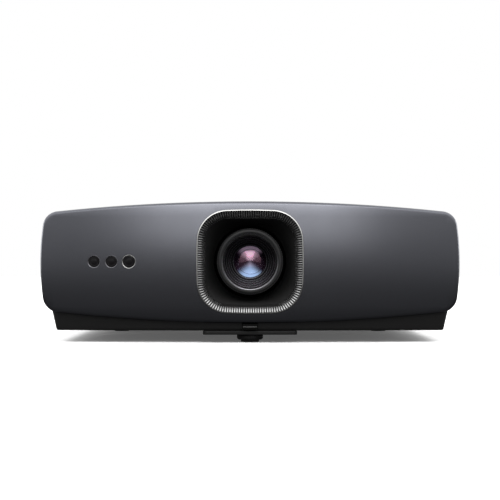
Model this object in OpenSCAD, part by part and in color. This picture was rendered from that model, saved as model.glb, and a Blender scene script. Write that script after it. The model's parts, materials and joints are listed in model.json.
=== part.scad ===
// Home projector: a wide case with a bowed front panel, a recessed lens in a
// ribbed opening, three sensor windows, a front foot with a quick release and
// two rear levelling feet. The frame has +Z up, the lens looks along -Y, and
// the origin is on the table under the middle of the case. Sizes are in
// millimetres.

/* [Case] */
// Width over the front panel
case_w = 420; // [400:1:520]
// Height from the table to the top of the front panel
case_h = 141; // [141:1:175]
// Depth from the front panel to the back
case_d = 310; // [310:1:380]
// Gap between the table and the underside of the base
ground_gap = 12; // [11:0.5:14]
// Height above the table of the seam between the base and the side grilles
seam_low = 42; // [40:0.5:46]
// Height above the table of the seam between the side grilles and the top cover
seam_high = 104; // [98:0.5:110]
// Thickness of the case's plastic walls
wall = 2.5; // [2:0.1:3]
// Gap left in the seams between two covers
seam = 0.4; // [0.3:0.1:0.8]
// How far the front panel stands out round the body behind it
body_step = 4; // [4:0.1:7]
// How far the base's underside is drawn in from its top, on every side
base_draft = 6.8; // [4:0.1:8]
// Corner radius of the base, seen from above
base_corner = 10; // [8:0.5:14]

/* [Front panel] */
// Height above the table of the lowest point of the panel
panel_low = 20; // [18:0.5:24]
// Thickness of the panel
panel_wall = 3; // [2.5:0.1:3.5]
// Depth of the panel from its foremost point to its rear rim
panel_depth = 33; // [28:0.5:40]
// Radius of the panel's bow
bow_r = 1600; // [1300:50:2400]
// Radius of the panel's top edge
top_arc = 1950; // [1500:50:2600]
// Radius of the panel's bottom edge
bottom_arc = 1850; // [1500:50:2600]
// Radius of the panel's side edges
side_arc = 280; // [220:10:400]
// Radius of the panel's upper corners
corner_high = 16; // [13:0.5:20]
// Radius of the panel's lower corners
corner_low = 17; // [13:0.5:20]

/* [Lens opening] */
// Height of the lens axis above the table
lens_z = 81; // [80:0.5:84]
// Width of the opening, which is the bezel's outer width
opening_w = 107; // [104:0.5:120]
// Height of the opening
opening_h = 104; // [101:0.5:112]
// Radius of the opening's four sides
opening_arc = 500; // [300:10:900]
// Corner radius of the opening
opening_corner = 31; // [24:0.5:36]
// Width of the bezel's smooth outer lip
lip_w = 1.3; // [0.8:0.1:2]
// Width of the ribbed band, seen from the front
band_w = 7.4; // [5:0.1:8]
// Depth of the ribbed band along the lens axis
band_depth = 7.4; // [5:0.1:9]
// Distance from one rib to the next
rib_pitch = 2.3; // [2:0.1:4]
// Width of the groove between two ribs
groove_w = 1.1; // [0.8:0.1:1.6]
// Depth of the groove between two ribs
groove_depth = 0.8; // [0.4:0.1:1.2]
// Depth of the funnel behind the bezel
funnel_depth = 34; // [30:0.5:36]
// Thickness of the funnel's wall
funnel_wall = 2; // [1.5:0.1:2.5]

/* [Lens] */
// Outer radius of the zoom ring
zoom_ring_r = 33.3; // [32.5:0.1:35]
// Length of the zoom ring
zoom_ring_len = 26; // [20:0.5:27]
// Ribs round the zoom ring
zoom_ribs = 60; // [40:2:80]
// Outer radius of the fixed barrel
barrel_r = 30; // [29.5:0.1:30.5]
// Thickness of the fixed barrel's wall
barrel_wall = 2.6; // [2.2:0.1:3]
// Setback of the zoom ring's front from the panel's foremost point
lens_setback = 12; // [9:0.5:14]
// Radius of the front lens
front_lens_r = 18; // [15:0.5:19]
// Teeth on the focus ring
ring_teeth = 72; // [66:2:78]
// Teeth on the motor's pinion
pinion_teeth = 12; // [12:1:14]
// Gear module
gear_module = 1; // [0.95:0.05:1.05]
// Travel of the front lens cell as the lens is focused
focus_travel = 2.5; // [1:0.5:4]
// Travel of the inner lens cell as the lens is zoomed
zoom_travel = 12; // [6:1:12]

/* [Sensor windows] */
// Height of the three windows above the table
window_z = 81; // [60:1:100]
// Distance of the middle window from the lens axis
window_x = 138; // [125:1:150]
// Distance from one window to the next
window_pitch = 17.5; // [16:0.5:22]
// Radius of the two small windows
window_r = 5.4; // [4:0.1:6]
// Radius of the camera window
camera_r = 5.9; // [4:0.1:6.5]
// Width of the bright ring round each window
ring_w = 0.9; // [0.6:0.1:1.2]

/* [Feet] */
// Distance from the front of the case to the axis of the front foot
front_foot_back = 31; // [30:0.5:34]
// Width of the bracket that holds the front foot
bracket_w = 94; // [80:1:110]
// Height that the bracket stands below the base
bracket_drop = 3.9; // [3:0.1:5]
// Radius of the front foot's knurled disc
front_disc_r = 13.2; // [11:0.1:15]
// Radius of the sliding leg
leg_r = 8; // [7:0.1:9]
// Length of the sliding leg
leg_len = 27; // [24:0.5:28]
// Travel of the sliding leg
leg_travel = 15; // [8:1:16]
// Radius of the rear feet's discs
rear_disc_r = 12; // [10:0.1:15]
// Height of a foot's knurled disc
disc_h = 5.9; // [4:0.1:6]
// Height of a foot's rubber pad
pad_h = 2; // [1.5:0.1:2.5]
// Radius of a foot's threaded stud
stud_r = 3.5; // [3:0.1:4]
// Travel of a foot's screw
screw_travel = 5; // [3:0.5:5]
// Distance between the rear feet
rear_feet_w = 300; // [260:1:330]
// Distance from the back of the case to the axes of the rear feet
rear_foot_in = 38; // [30:1:50]

/* [Ceiling mount] */
// Distance between the mounting holes across the case
mount_w = 250; // [200:1:270]
// Distance between the mounting holes along the case
mount_d = 140; // [100:1:150]
// Radius of the threaded hole in each insert
mount_hole_r = 1.65; // [1.6:0.05:2]

/* [Keypad] */
// Distance from the back of the case to the middle of the keypad
keypad_in = 48; // [44:1:60]
// Radius of the round keys
key_r = 6; // [5:0.1:7]
// Outer radius of the four arrow keys
arrow_r = 18; // [16:0.5:20]
// Travel of every key
key_travel = 1; // [0.6:0.1:1.2]

/* [Cooling] */
// Side of a fan's square frame
fan_size = 80; // [70:1:80]
// Depth of a fan's frame
fan_depth = 25; // [15:1:25]
// Blades on a fan's rotor
fan_blades = 7; // [5:1:9]
// Height of a slot in the side grilles
slot_h = 2.6; // [2:0.1:3.2]
// Distance from one row of slots to the next
slot_pitch = 5.2; // [4.5:0.1:7]

/* [Hidden] */

// A small overlap that lets a cut pass cleanly through a face.
cut = 1;
// Radial clearance of a piece that turns or slides in another.
run = 0.1;
// Radial clearance of a piece that is fitted once and stays.
fit = 0.05;
// How far a chord of an outline may lie inside its arc.
chord = 0.05;
$fn = 64;
// Facets in a preview of a large or optical surface.
fine_facets = 320;

front_y = -case_d / 2;
back_y = case_d / 2;
rim_y = front_y + panel_depth;
panel_mid = (case_h + panel_low) / 2;
body_wall = body_step + wall;
cover_top = case_h - body_step;

// ---------------------------------------------------------------- outlines

// The point at distance r1 from c1 and r2 from c2, on the side given by s.
function crossing(c1, r1, c2, r2, s) =
    let (
        d = norm(c2 - c1),
        u = (c2 - c1) / d,
        a = (r1 * r1 - r2 * r2 + d * d) / (2 * d),
        h = sqrt(r1 * r1 - a * a)
    )
    c1 + a * u + s * h * [-u.y, u.x];

function bearing(from, to) = atan2(to.y - from.y, to.x - from.x);

// A bulging rounded rectangle as arcs [centre, radius, start, end], anticlockwise
// from its lowest point. bulge is [top, bottom, side] and corners is [high, low].
function barrel_arcs(w, low, high, bulge, corners) =
    let (
        top = [0, high - bulge[0]],
        bottom = [0, low + bulge[1]],
        side = [w / 2 - bulge[2], (low + high) / 2],
        kt = crossing(top, bulge[0] - corners[0], side, bulge[2] - corners[0], -1),
        kb = crossing(bottom, bulge[1] - corners[1], side, bulge[2] - corners[1], 1),
        right = [
            [bottom, bulge[1], -90, bearing(bottom, kb)],
            [kb, corners[1], bearing(bottom, kb), bearing(side, kb)],
            [side, bulge[2], bearing(side, kb), bearing(side, kt)],
            [kt, corners[0], bearing(side, kt), bearing(top, kt)],
            [top, bulge[0], bearing(top, kt), 90]
        ]
    )
    concat(right, [
        for (i = [4:-1:0])
            let (a = right[i]) [[-a[0].x, a[0].y], a[1], 180 - a[3], 180 - a[2]]
    ]);

function arc_steps(r, angle) = max(2, ceil(angle / (2 * acos(1 - chord / r))));

function outline(arcs, inset) = [
    for (a = arcs)
        let (n = arc_steps(a[1], a[3] - a[2]))
            for (i = [0:n - 1])
                let (t = a[2] + (a[3] - a[2]) * i / n)
                    a[0] + (a[1] - inset) * [cos(t), sin(t)]
];

panel_arcs = barrel_arcs(case_w, panel_low, case_h, [top_arc, bottom_arc, side_arc],
    [corner_high, corner_low]);
opening_arcs = barrel_arcs(opening_w, lens_z - opening_h / 2, lens_z + opening_h / 2,
    [opening_arc, opening_arc, opening_arc], [opening_corner, opening_corner]);

// The front panel's outline and the lens opening's, moved in by inset.
module panel_shape(inset) polygon(outline(panel_arcs, inset));
module opening_shape(inset) polygon(outline(opening_arcs, inset));

// ------------------------------------------------------------- placing tools

// Extrudes a shape drawn in X and Z along Y.
module along_y(y0, y1)
    translate([0, y1, 0]) rotate([90, 0, 0]) linear_extrude(y1 - y0) children();

// Turns what is drawn round +Z into something round the lens axis, with its
// base at y and growing backwards.
module on_axis(y) translate([0, y, lens_z]) rotate([-90, 0, 0]) children();

// A tube round the lens axis.
module lens_tube(y0, y1, r_out, r_in)
    on_axis(y0) tube(y1 - y0, r_out, r_in);

// A tube standing on the origin.
module tube(h, r_out, r_in)
    difference() {
        cylinder(h = h, r = r_out);
        translate([0, 0, -cut]) cylinder(h = h + 2 * cut, r = r_in);
    }

// The ball whose front is the panel's bow, moved back by inset.
module bow(inset)
    translate([0, front_y + bow_r, panel_mid]) sphere(bow_r - inset, $fn = fine_facets);

// Puts children on the panel's front at distance x from the lens axis, with -Y
// along the panel's outward normal.
module at_panel(x, z)
    translate([0, front_y + bow_r, z])
        rotate([0, 0, asin(x / bow_r)])
            translate([0, -bow_r, 0]) children();

// A box given by its two corners.
module block(low, high) translate(low) cube(high - low);

// A box given by its middle and size.
module brick(middle, size) translate(middle) cube(size, center = true);

// A row of thin plates spread along X, as on a heat sink.
module fins(low, high, count, thick)
    for (i = [0:count - 1]) {
        x = low.x + (high.x - low.x - thick) * i / (count - 1);
        block([x, low.y, low.z], [x + thick, high.y, high.z]);
    }

// -------------------------------------------------------------------- gears

// A point on an involute of base radius rb where its radius is r.
function involute(rb, r) =
    let (a = sqrt(r * r / (rb * rb) - 1), t = a * 180 / PI - atan(a)) [r * cos(t), r * sin(t)];

function spin(p, a) = [p.x * cos(a) - p.y * sin(a), p.x * sin(a) + p.y * cos(a)];

// A spur gear's outline with 20 degree teeth, thinned by play along the pitch
// circle, with its first tooth on +X.
function gear_outline(teeth, play) =
    let (
        rp = teeth * gear_module / 2,
        rb = rp * cos(20),
        ra = rp + gear_module,
        rf = rp - 1.25 * gear_module,
        at_pitch = involute(rb, rp),
        half = 90 / teeth - play / rp * 90 / PI + atan2(at_pitch.y, at_pitch.x),
        low = max(rb + 0.001, rf),
        flank = [for (i = [0:3]) spin(involute(rb, low + (ra - low) * i / 3), -half)]
    )
    [
        for (k = [0:teeth - 1])
            each concat(
                [spin(rf * [cos(half), -sin(half)], 360 * k / teeth)],
                [for (p = flank) spin(p, 360 * k / teeth)],
                [for (i = [3:-1:0]) spin([flank[i].x, -flank[i].y], 360 * k / teeth)],
                [spin(rf * [cos(half), sin(half)], 360 * k / teeth)]
            )
    ];

gear_play = 0.14;
ring_pitch_r = ring_teeth * gear_module / 2;
gear_centres = (ring_teeth + pinion_teeth) * gear_module / 2 + 0.05;
pinion_angle = 45;

// --------------------------------------------------------------- front panel

// Depths along the lens axis of the opening's parts.
slope_front = front_y + 1;
bezel_back = slope_front + band_depth + 1.6;
opening_in = lip_w + band_w;
funnel_front = bezel_back + fit;
funnel_back = funnel_front + funnel_depth;
funnel_hole_r = zoom_ring_r + 3.7;

window_xs = [-window_x - window_pitch, -window_x, -window_x + window_pitch];
window_rs = [window_r, window_r, camera_r];
ring_deep = 3.6;

module front_fascia() color("dimgray") difference() {
    intersection() {
        along_y(front_y - cut, rim_y) panel_shape(0);
        bow(0);
    }
    intersection() {
        along_y(front_y - cut, rim_y + cut) panel_shape(panel_wall);
        bow(panel_wall);
    }
    along_y(front_y - cut, rim_y) opening_shape(-fit);
    for (i = [0:2])
        at_panel(window_xs[i], window_z)
            rotate([90, 0, 0]) cylinder(h = 20, r = window_rs[i] + ring_w + fit, center = true);
    translate([0, foot_y, 0]) cylinder(h = panel_low + 12, r = sleeve_r + cut);
}

// The comb that divides the bezel's sloping band into ribs.
rib_arcs = opening_arcs;

function comb_points(a, deep, high) =
    let (
        mid_r = a[1] - opening_in / 2,
        n = max(1, round(mid_r * (a[3] - a[2]) * PI / 180 / rib_pitch)),
        step = (a[3] - a[2]) / n,
        gap = step * groove_w / rib_pitch
    )
    [
        for (i = [0:n - 1])
            let (t = a[2] + step * (i + 0.5) - gap / 2)
                each [
                    a[0] + (a[1] - high) * [cos(t), sin(t)],
                    a[0] + (a[1] - deep) * [cos(t), sin(t)],
                    a[0] + (a[1] - deep) * [cos(t + gap), sin(t + gap)],
                    a[0] + (a[1] - high) * [cos(t + gap), sin(t + gap)]
                ]
    ];

// Four steps follow the slope, and each step's inner edge is cut into ribs.
bezel_steps = 4;

module lens_bezel() color("silver") {
    along_y(front_y, slope_front) difference() {
        opening_shape(0);
        opening_shape(lip_w);
    }
    for (i = [0:bezel_steps - 1]) {
        high = lip_w + band_w * (i + 1) / bezel_steps;
        y = slope_front + band_depth * i / bezel_steps;
        y_end = i == bezel_steps - 1 ? bezel_back : y + band_depth / bezel_steps;
        along_y(y, y_end) difference() {
            opening_shape(0);
            polygon([for (a = rib_arcs) each comb_points(a, high - groove_depth, high)]);
        }
    }
}

module funnel_solid(grow, past)
    hull() {
        along_y(funnel_front - past, funnel_front + 1) opening_shape(opening_in - grow);
        on_axis(funnel_back - 1) cylinder(h = 1 + past, r = funnel_hole_r + grow, $fn = 48);
    }

module lens_funnel() color([0.06, 0.06, 0.06]) difference() {
    union() {
        funnel_solid(funnel_wall, 0);
        along_y(funnel_front, funnel_front + funnel_wall) opening_shape(-funnel_wall);
    }
    funnel_solid(0, cut);
}

module window_pane(x, r)
    at_panel(x, window_z)
        rotate([-90, 0, 0]) translate([0, 0, 0.6]) cylinder(h = 2.4, r = r - fit);

module small_windows() color([0.03, 0.02, 0.03]) {
    window_pane(window_xs[0], window_r);
    window_pane(window_xs[1], window_r);
}

module camera_window() color([0.03, 0.03, 0.04]) window_pane(window_xs[2], camera_r);

module window_rings() color("silver")
    for (i = [0:2])
        at_panel(window_xs[i], window_z)
            rotate([-90, 0, 0]) tube(ring_deep, window_rs[i] + ring_w, window_rs[i]);

board_y = front_y + 22;
module sensor_board() color("darkgreen") difference() {
    union() {
        block([-window_x - window_pitch - 12, board_y, window_z - 13],
            [-window_x + window_pitch + 12, board_y + 1.6, window_z + 13]);
        for (i = [0:1])
            brick([window_xs[i], board_y - 2.5, window_z], [8, 5, 7]);
        translate([window_xs[2], board_y, window_z]) rotate([90, 0, 0]) cylinder(h = 7, r = 4);
        brick([window_xs[2], board_y - 1.5, window_z], [10, 3, 10]);
        brick([-window_x, board_y + 3, window_z - 9], [14, 3.5, 5]);
    }
    for (sx = [-1, 1])
        translate([-window_x + sx * (window_pitch + 9), board_y - cut, window_z + 10])
            rotate([-90, 0, 0]) cylinder(h = 5, r = 1.2);
}

// --------------------------------------------------------------- case covers

// The hollow body behind the panel, kept between two heights.
body_front = rim_y - 6;
module body_shell(z0, z1) intersection() {
    along_y(body_front, back_y) difference() {
        panel_shape(body_step);
        panel_shape(body_wall);
    }
    block([-case_w, body_front - cut, z0], [case_w, back_y + cut, z1]);
}

keypad_y = back_y - keypad_in;
arrow_in = key_r + 2.2;
key_gap = 0.35;
key_side = arrow_r + 17;
// Places of the power, OK, source and back keys from the keypad's middle.
round_keys = [[-key_side, 0], [0, 0], [key_side - 4, key_r + 3], [key_side - 4, -key_r - 3]];

// A quarter ring that points along the angle a.
module arrow_shape(a, grow) rotate(a) intersection() {
    difference() {
        circle(arrow_r + grow);
        circle(arrow_in - grow);
    }
    polygon([[1.2 - 1.4 * grow, 0], [41.2 - 1.4 * grow, 40], [41.2 - 1.4 * grow, -40]]);
}

post_r = 4;
post_places = [
    for (sx = [-1, 1])
        for (y = [front_y + 44, back_y - 15]) [sx * (case_w / 2 - 45), y]
];
screw_r = 1.5;
screw_head_r = 3;
post_low = ground_gap + wall + 6;

module top_cover() color([0.2, 0.2, 0.21]) difference() {
    union() {
        body_shell(seam_high + seam / 2, case_h);
        intersection() {
            for (p = post_places)
                translate([p.x, p.y, post_low]) cylinder(h = case_h, r = post_r);
            along_y(body_front, back_y) panel_shape(body_wall - cut);
        }
    }
    for (p = post_places)
        translate([p.x, p.y, post_low - cut]) cylinder(h = 16, r = screw_r + fit);
    translate([0, keypad_y, cover_top - 3 * wall]) linear_extrude(6 * wall) {
        for (k = round_keys) translate(k) circle(key_r + key_gap);
        for (a = [0, 90, 180, 270]) arrow_shape(a, key_gap);
    }
}

// The base's plan: its front follows the panel's bow.
base_half_w = case_w / 2 - 9.5;
base_front = front_y + 4;
nearly_flat = 40000;
base_arcs = barrel_arcs(2 * base_half_w, base_front, back_y, [nearly_flat, bow_r, nearly_flat],
    [base_corner, base_corner]);

module base_slice(z, inset)
    translate([0, 0, z - 0.01]) linear_extrude(0.01) polygon(outline(base_arcs, inset));

// The base's form, drawn in towards its underside.
function draft_at(z) = base_draft * (seam_low - z) / (seam_low - ground_gap);

module base_form(inset, z0, z1)
    hull() {
        base_slice(z0 + 0.01, inset + draft_at(z0));
        base_slice(z1, inset + draft_at(z1));
    }

boss_r = 5;
mount_y = 15;
insert_len = 9;
insert_r = 3.2;
mount_places = [
    for (sx = [-1, 1]) for (sy = [-1, 1]) [sx * mount_w / 2, mount_y + sy * mount_d / 2]
];
rear_feet = [for (sx = [-1, 1]) [sx * rear_feet_w / 2, back_y - rear_foot_in]];
foot_y = front_y + front_foot_back;
bracket_z = ground_gap - bracket_drop;
bearing_gap = 0.2;
sleeve_r = leg_r + 2;
foot_boss_r = boss_r + 3;
button_w = 15;
button_low = ground_gap + 1.2;
button_high = panel_low - seam - 1;

module base_tray() color([0.1, 0.1, 0.1]) difference() {
    union() {
        difference() {
            base_form(0, ground_gap, seam_low - seam / 2);
            base_form(wall, ground_gap + wall, seam_low + cut);
        }
        for (p = mount_places)
            translate([p.x, p.y, ground_gap]) cylinder(h = insert_len + 1.5, r = boss_r);
        for (p = rear_feet)
            translate([p.x, p.y, bracket_z]) cylinder(h = 16, r = foot_boss_r);
        for (p = post_places)
            translate([p.x, p.y, ground_gap]) cylinder(h = post_low - ground_gap - seam, r = boss_r);
    }
    along_y(front_y - cut, rim_y + seam) panel_shape(-seam);
    for (p = mount_places)
        translate([p.x, p.y, ground_gap - cut]) cylinder(h = insert_len + cut, r = insert_r + fit);
    for (p = rear_feet)
        translate([p.x, p.y, 0]) cylinder(h = 40, r = stud_r + run);
    for (p = post_places) translate([p.x, p.y, 0]) {
        cylinder(h = 40, r = screw_r + fit);
        cylinder(h = ground_gap + 3, r = screw_head_r + 0.2);
    }
    translate([0, foot_y, 0]) cylinder(h = 40, r = sleeve_r + fit);
    block([-button_w / 2 - seam, front_y, button_low - seam],
        [button_w / 2 + seam, foot_y, panel_low + seam]);
}

slot_rows = floor((seam_high - seam_low - 14) / slot_pitch);
slot_y0 = rim_y + 14;
slot_y1 = back_y - 30;
slot_cols = 3;
slot_bar = 5;

module grille() difference() {
    intersection() {
        body_shell(seam_low + seam / 2, seam_high - seam / 2);
        block([0, -case_d, 0], [case_w, case_d, case_h]);
    }
    for (i = [0:slot_rows])
        for (j = [0:slot_cols - 1]) {
            z = (seam_low + seam_high - slot_rows * slot_pitch) / 2 + i * slot_pitch;
            len = (slot_y1 - slot_y0) / slot_cols;
            brick([case_w / 2, slot_y0 + (j + 0.5) * len, z], [60, len - slot_bar, slot_h]);
        }
}

module right_grille() color([0.16, 0.16, 0.17]) grille();
module left_grille() color([0.16, 0.16, 0.17]) mirror([1, 0, 0]) grille();

// --------------------------------------------------------------- rear panel

socket_z = seam_low + 24;
hdmi_xs = [-80, -56];
usb_xs = [-30, -12];
jack_xs = [8, 24];
inlet_x = case_w / 2 - 90;
inlet_w = 26;
inlet_h = 20;
jack_r = 1.8;
jack_z = socket_z;
rear_in = back_y - wall;

module rear_panel() color([0.14, 0.14, 0.14]) difference() {
    intersection() {
        along_y(rear_in, back_y) panel_shape(body_wall + fit);
        block([-case_w, rear_in - cut, seam_low + seam / 2], [case_w, back_y + cut, case_h]);
    }
    for (x = hdmi_xs) brick([x, back_y, socket_z], [15.4, 4 * wall, 6.4]);
    for (x = usb_xs) brick([x, back_y, socket_z], [7, 4 * wall, 14.4]);
    for (x = jack_xs)
        translate([x, back_y, jack_z]) rotate([90, 0, 0]) cylinder(h = 4 * wall, r = 4.1, center = true);
    brick([inlet_x, back_y, socket_z], [inlet_w + 0.2, 4 * wall, inlet_h + 0.2]);
    for (i = [0:9])
        brick([inlet_x - 40, back_y, socket_z - 14 + 4.2 * i], [34, 4 * wall, 1.8]);
}

main_y = back_y - 17;
module main_board() color("darkgreen") difference() {
    union() {
        block([-120, main_y, seam_low + 4], [50, main_y + 1.6, seam_high - 2]);
        brick([-40, main_y - 2, socket_z + 12], [34, 4, 22]);
        brick([10, main_y - 1, socket_z + 12], [16, 2, 16]);
        brick([-90, main_y - 1, socket_z + 12], [20, 2, 14]);
        brick([-40, main_y - 4, socket_z - 16], [60, 8, 7]);
    }
    for (x = [-115, 45])
        for (z = [seam_low + 9, seam_high - 7])
            translate([x, main_y - cut, z]) rotate([-90, 0, 0]) cylinder(h = 5, r = 1.6);
}

module hdmi_sockets() color("silver")
    for (x = hdmi_xs) difference() {
        block([x - 7.5, main_y + 1.6, socket_z - 3], [x + 7.5, back_y - 0.2, socket_z + 3]);
        block([x - 6.8, back_y - 10, socket_z - 2.3], [x + 6.8, back_y + cut, socket_z - 0.9]);
        block([x - 6.8, back_y - 10, socket_z + 0.9], [x + 6.8, back_y + cut, socket_z + 2.3]);
        for (sx = [-1, 1])
            brick([x + sx * 6.2, back_y - 5, socket_z], [1.2, 10.4, 3]);
    }

module usb_sockets() color("silver")
    for (x = usb_xs) difference() {
        block([x - 3.3, main_y + 1.6, socket_z - 7], [x + 3.3, back_y - 0.2, socket_z + 7]);
        block([x - 2.6, back_y - 12, socket_z - 6.3], [x + 0.4, back_y + cut, socket_z + 6.3]);
    }

module audio_jacks() color([0.08, 0.08, 0.08])
    for (x = jack_xs) difference() {
        union() {
            block([x - 5, main_y + 1.6, jack_z - 5], [x + 5, rear_in - 0.2, jack_z + 5]);
            translate([x, rear_in - 1, jack_z]) rotate([-90, 0, 0]) cylinder(h = wall + 0.8, r = 4);
        }
        translate([x, main_y + 4, jack_z]) rotate([-90, 0, 0]) cylinder(h = 30, r = jack_r);
    }

module power_inlet() color([0.05, 0.05, 0.05]) {
    difference() {
        block([inlet_x - inlet_w / 2, back_y - 26, socket_z - inlet_h / 2],
            [inlet_x + inlet_w / 2, back_y - 0.2, socket_z + inlet_h / 2]);
        for (sx = [-1, 1])
            translate([inlet_x + sx * 4.2, back_y - 18, socket_z])
                rotate([-90, 0, 0]) cylinder(h = 30, r = 4.4);
    }
    for (sx = [-1, 1])
        translate([inlet_x + sx * 4.2, back_y - 20, socket_z])
            rotate([-90, 0, 0]) cylinder(h = 16, r = 1.2);
}

// -------------------------------------------------------------------- screws

module case_screws() color("silver")
    for (p = post_places) translate([p.x, p.y, ground_gap + 0.4]) {
        cylinder(h = 2.4, r = screw_head_r);
        cylinder(h = 18, r = screw_r);
    }

module mount_inserts() color("goldenrod")
    for (p = mount_places) translate([p.x, p.y, ground_gap])
        tube(insert_len - 0.2, insert_r, mount_hole_r);

// ---------------------------------------------------------------------- lens

lens_front = front_y + lens_setback;
barrel_front = lens_front + 4.5;
barrel_in = barrel_r - barrel_wall;
barrel_len = 74;
barrel_back = barrel_front + barrel_len;
cell_front = barrel_front + 0.5;
cell_r = barrel_in - run;
front_len = 30;
glass_in = 14;
gear_y = lens_front + zoom_ring_len + 8;
gear_w = 8;
zoom_len = 14;
zoom_y = barrel_back - 7 - zoom_len;
mid_lens_r = 16;
flange_r = barrel_r + 9;

module lens_barrel() color([0.12, 0.12, 0.12]) {
    lens_tube(barrel_front, barrel_back, barrel_r, barrel_in);
    lens_tube(barrel_back - 3, barrel_back, flange_r, barrel_r - 1);
    lens_tube(barrel_back - 5, barrel_back, barrel_in + 1, mid_lens_r + fit);
    lens_tube(lens_front + zoom_ring_len + 0.6, lens_front + zoom_ring_len + 3, barrel_r + 2,
        barrel_r - 1);
    lens_tube(gear_y + gear_w + 0.6, motor_y, ring_pitch_r - 1, barrel_r - 1);
}

module zoom_ring() color([0.1, 0.1, 0.1]) on_axis(lens_front) difference() {
    cylinder(h = zoom_ring_len, r = zoom_ring_r);
    translate([0, 0, -cut]) cylinder(h = zoom_ring_len + 2 * cut, r = barrel_in + 1.4);
    translate([0, 0, barrel_front - lens_front - 0.3])
        cylinder(h = zoom_ring_len, r = barrel_r + run);
    for (i = [0:zoom_ribs - 1])
        rotate(360 * i / zoom_ribs)
            translate([zoom_ring_r, 0, zoom_ring_len / 2 + 3])
                cube([1.2, 1.4, zoom_ring_len], center = true);
}

module focus_ring() color([0.1, 0.1, 0.1]) on_axis(gear_y) difference() {
    linear_extrude(gear_w) polygon(gear_outline(ring_teeth, gear_play));
    translate([0, 0, -cut]) cylinder(h = gear_w + 2 * cut, r = barrel_r + run);
}

// Steps that narrow from the cell's mouth down to the glass.
step_count = 6;
mouth_r = cell_r - 1.2;

module front_cell() color([0.08, 0.08, 0.08]) on_axis(cell_front) rotate_extrude() {
    difference() {
        square([cell_r, front_len]);
        for (i = [0:step_count - 1])
            translate([0, -cut])
                square([mouth_r - (mouth_r - front_lens_r + 1) * i / (step_count - 1),
                    cut + glass_in * (i + 1) / step_count]);
        translate([0, glass_in]) square([front_lens_r + fit, front_len]);
        square([front_lens_r - 1, front_len]);
    }
}

// A lens with a bulging front and a nearly flat back.
module lens_form(r, thick, front_curve, back_curve) intersection() {
    cylinder(h = thick, r = r);
    translate([0, 0, front_curve]) sphere(front_curve, $fn = fine_facets);
    translate([0, 0, thick - back_curve]) sphere(back_curve, $fn = fine_facets);
}

module front_lens() color([0.5, 0.6, 0.75]) on_axis(cell_front + glass_in + fit)
    difference() {
        union() {
            translate([0, 0, -3]) intersection() {
                cylinder(h = 3.1, r = front_lens_r - 1.2);
                translate([0, 0, 45]) sphere(45, $fn = fine_facets);
            }
            cylinder(h = 7, r = front_lens_r);
        }
        translate([0, 0, 7 + 50]) sphere(52, $fn = fine_facets);
    }

module zoom_cell() color([0.1, 0.1, 0.1]) on_axis(zoom_y) difference() {
    cylinder(h = zoom_len, r = cell_r);
    translate([0, 0, -cut]) cylinder(h = zoom_len + 2 * cut, r = mid_lens_r - 1.5);
    translate([0, 0, 2]) cylinder(h = zoom_len, r = mid_lens_r + fit);
}

module zoom_lens() color([0.5, 0.6, 0.75]) on_axis(zoom_y + 2 + fit)
    lens_form(mid_lens_r, 7, 40, 55);

module rear_lens() color([0.5, 0.6, 0.75]) on_axis(barrel_back - 5 + fit)
    lens_form(mid_lens_r, 5, 90, 60);

pinion_x = gear_centres * cos(pinion_angle);
pinion_z = gear_centres * sin(pinion_angle);
motor_r = 8;
shaft_r = 1.5;
motor_y = gear_y + gear_w + 3;

// Places children at the pinion's axis, drawn round +Z as on_axis does.
module at_pinion(y) translate([pinion_x, 0, pinion_z]) on_axis(y) children();

module focus_motor() color("silver") difference() {
    union() {
        at_pinion(motor_y + 2) cylinder(h = 24, r = motor_r);
        at_pinion(motor_y) cylinder(h = 2, r = motor_r + 3);
        hull() {
            at_pinion(motor_y) cylinder(h = 2, r = 4, $fn = 32);
            translate([pinion_x * 0.87, 0, pinion_z * 0.87])
                on_axis(motor_y) cylinder(h = 2, r = 4, $fn = 32);
        }
    }
    at_pinion(motor_y - cut) cylinder(h = 10, r = shaft_r + run);
}

module focus_pinion() color("goldenrod") {
    at_pinion(gear_y - 1) linear_extrude(gear_w + 1)
        rotate(pinion_phase) polygon(gear_outline(pinion_teeth, gear_play));
    at_pinion(gear_y) cylinder(h = motor_y - gear_y + 6, r = shaft_r);
}

// The pinion is turned so that one of its gaps faces the ring's nearest tooth.
// Angles run the other way round once a gear is laid on the lens axis.
ring_tooth = -pinion_angle - round(-pinion_angle * ring_teeth / 360) * 360 / ring_teeth;
pinion_phase = 180 - pinion_angle + 180 / pinion_teeth
    + ring_tooth * ring_teeth / pinion_teeth;

// ------------------------------------------------------------ optical engine

engine_y0 = barrel_back + fit;
engine_y1 = engine_y0 + 50;
engine_w = 38;
engine_low = lens_z - 34;
engine_high = lens_z + 34;
arm_x = -135;
arm_low = lens_z - 20;
arm_high = lens_z + 20;
arm_y0 = engine_y0 + 8;
arm_y1 = engine_y0 + 44;
engine_wall = 3;
led_xs = [-105, -72];
leg_places = [[-30, engine_y0 + 8], [30, engine_y0 + 8], [-30, engine_y1 - 8], [30, engine_y1 - 8]];

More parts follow.
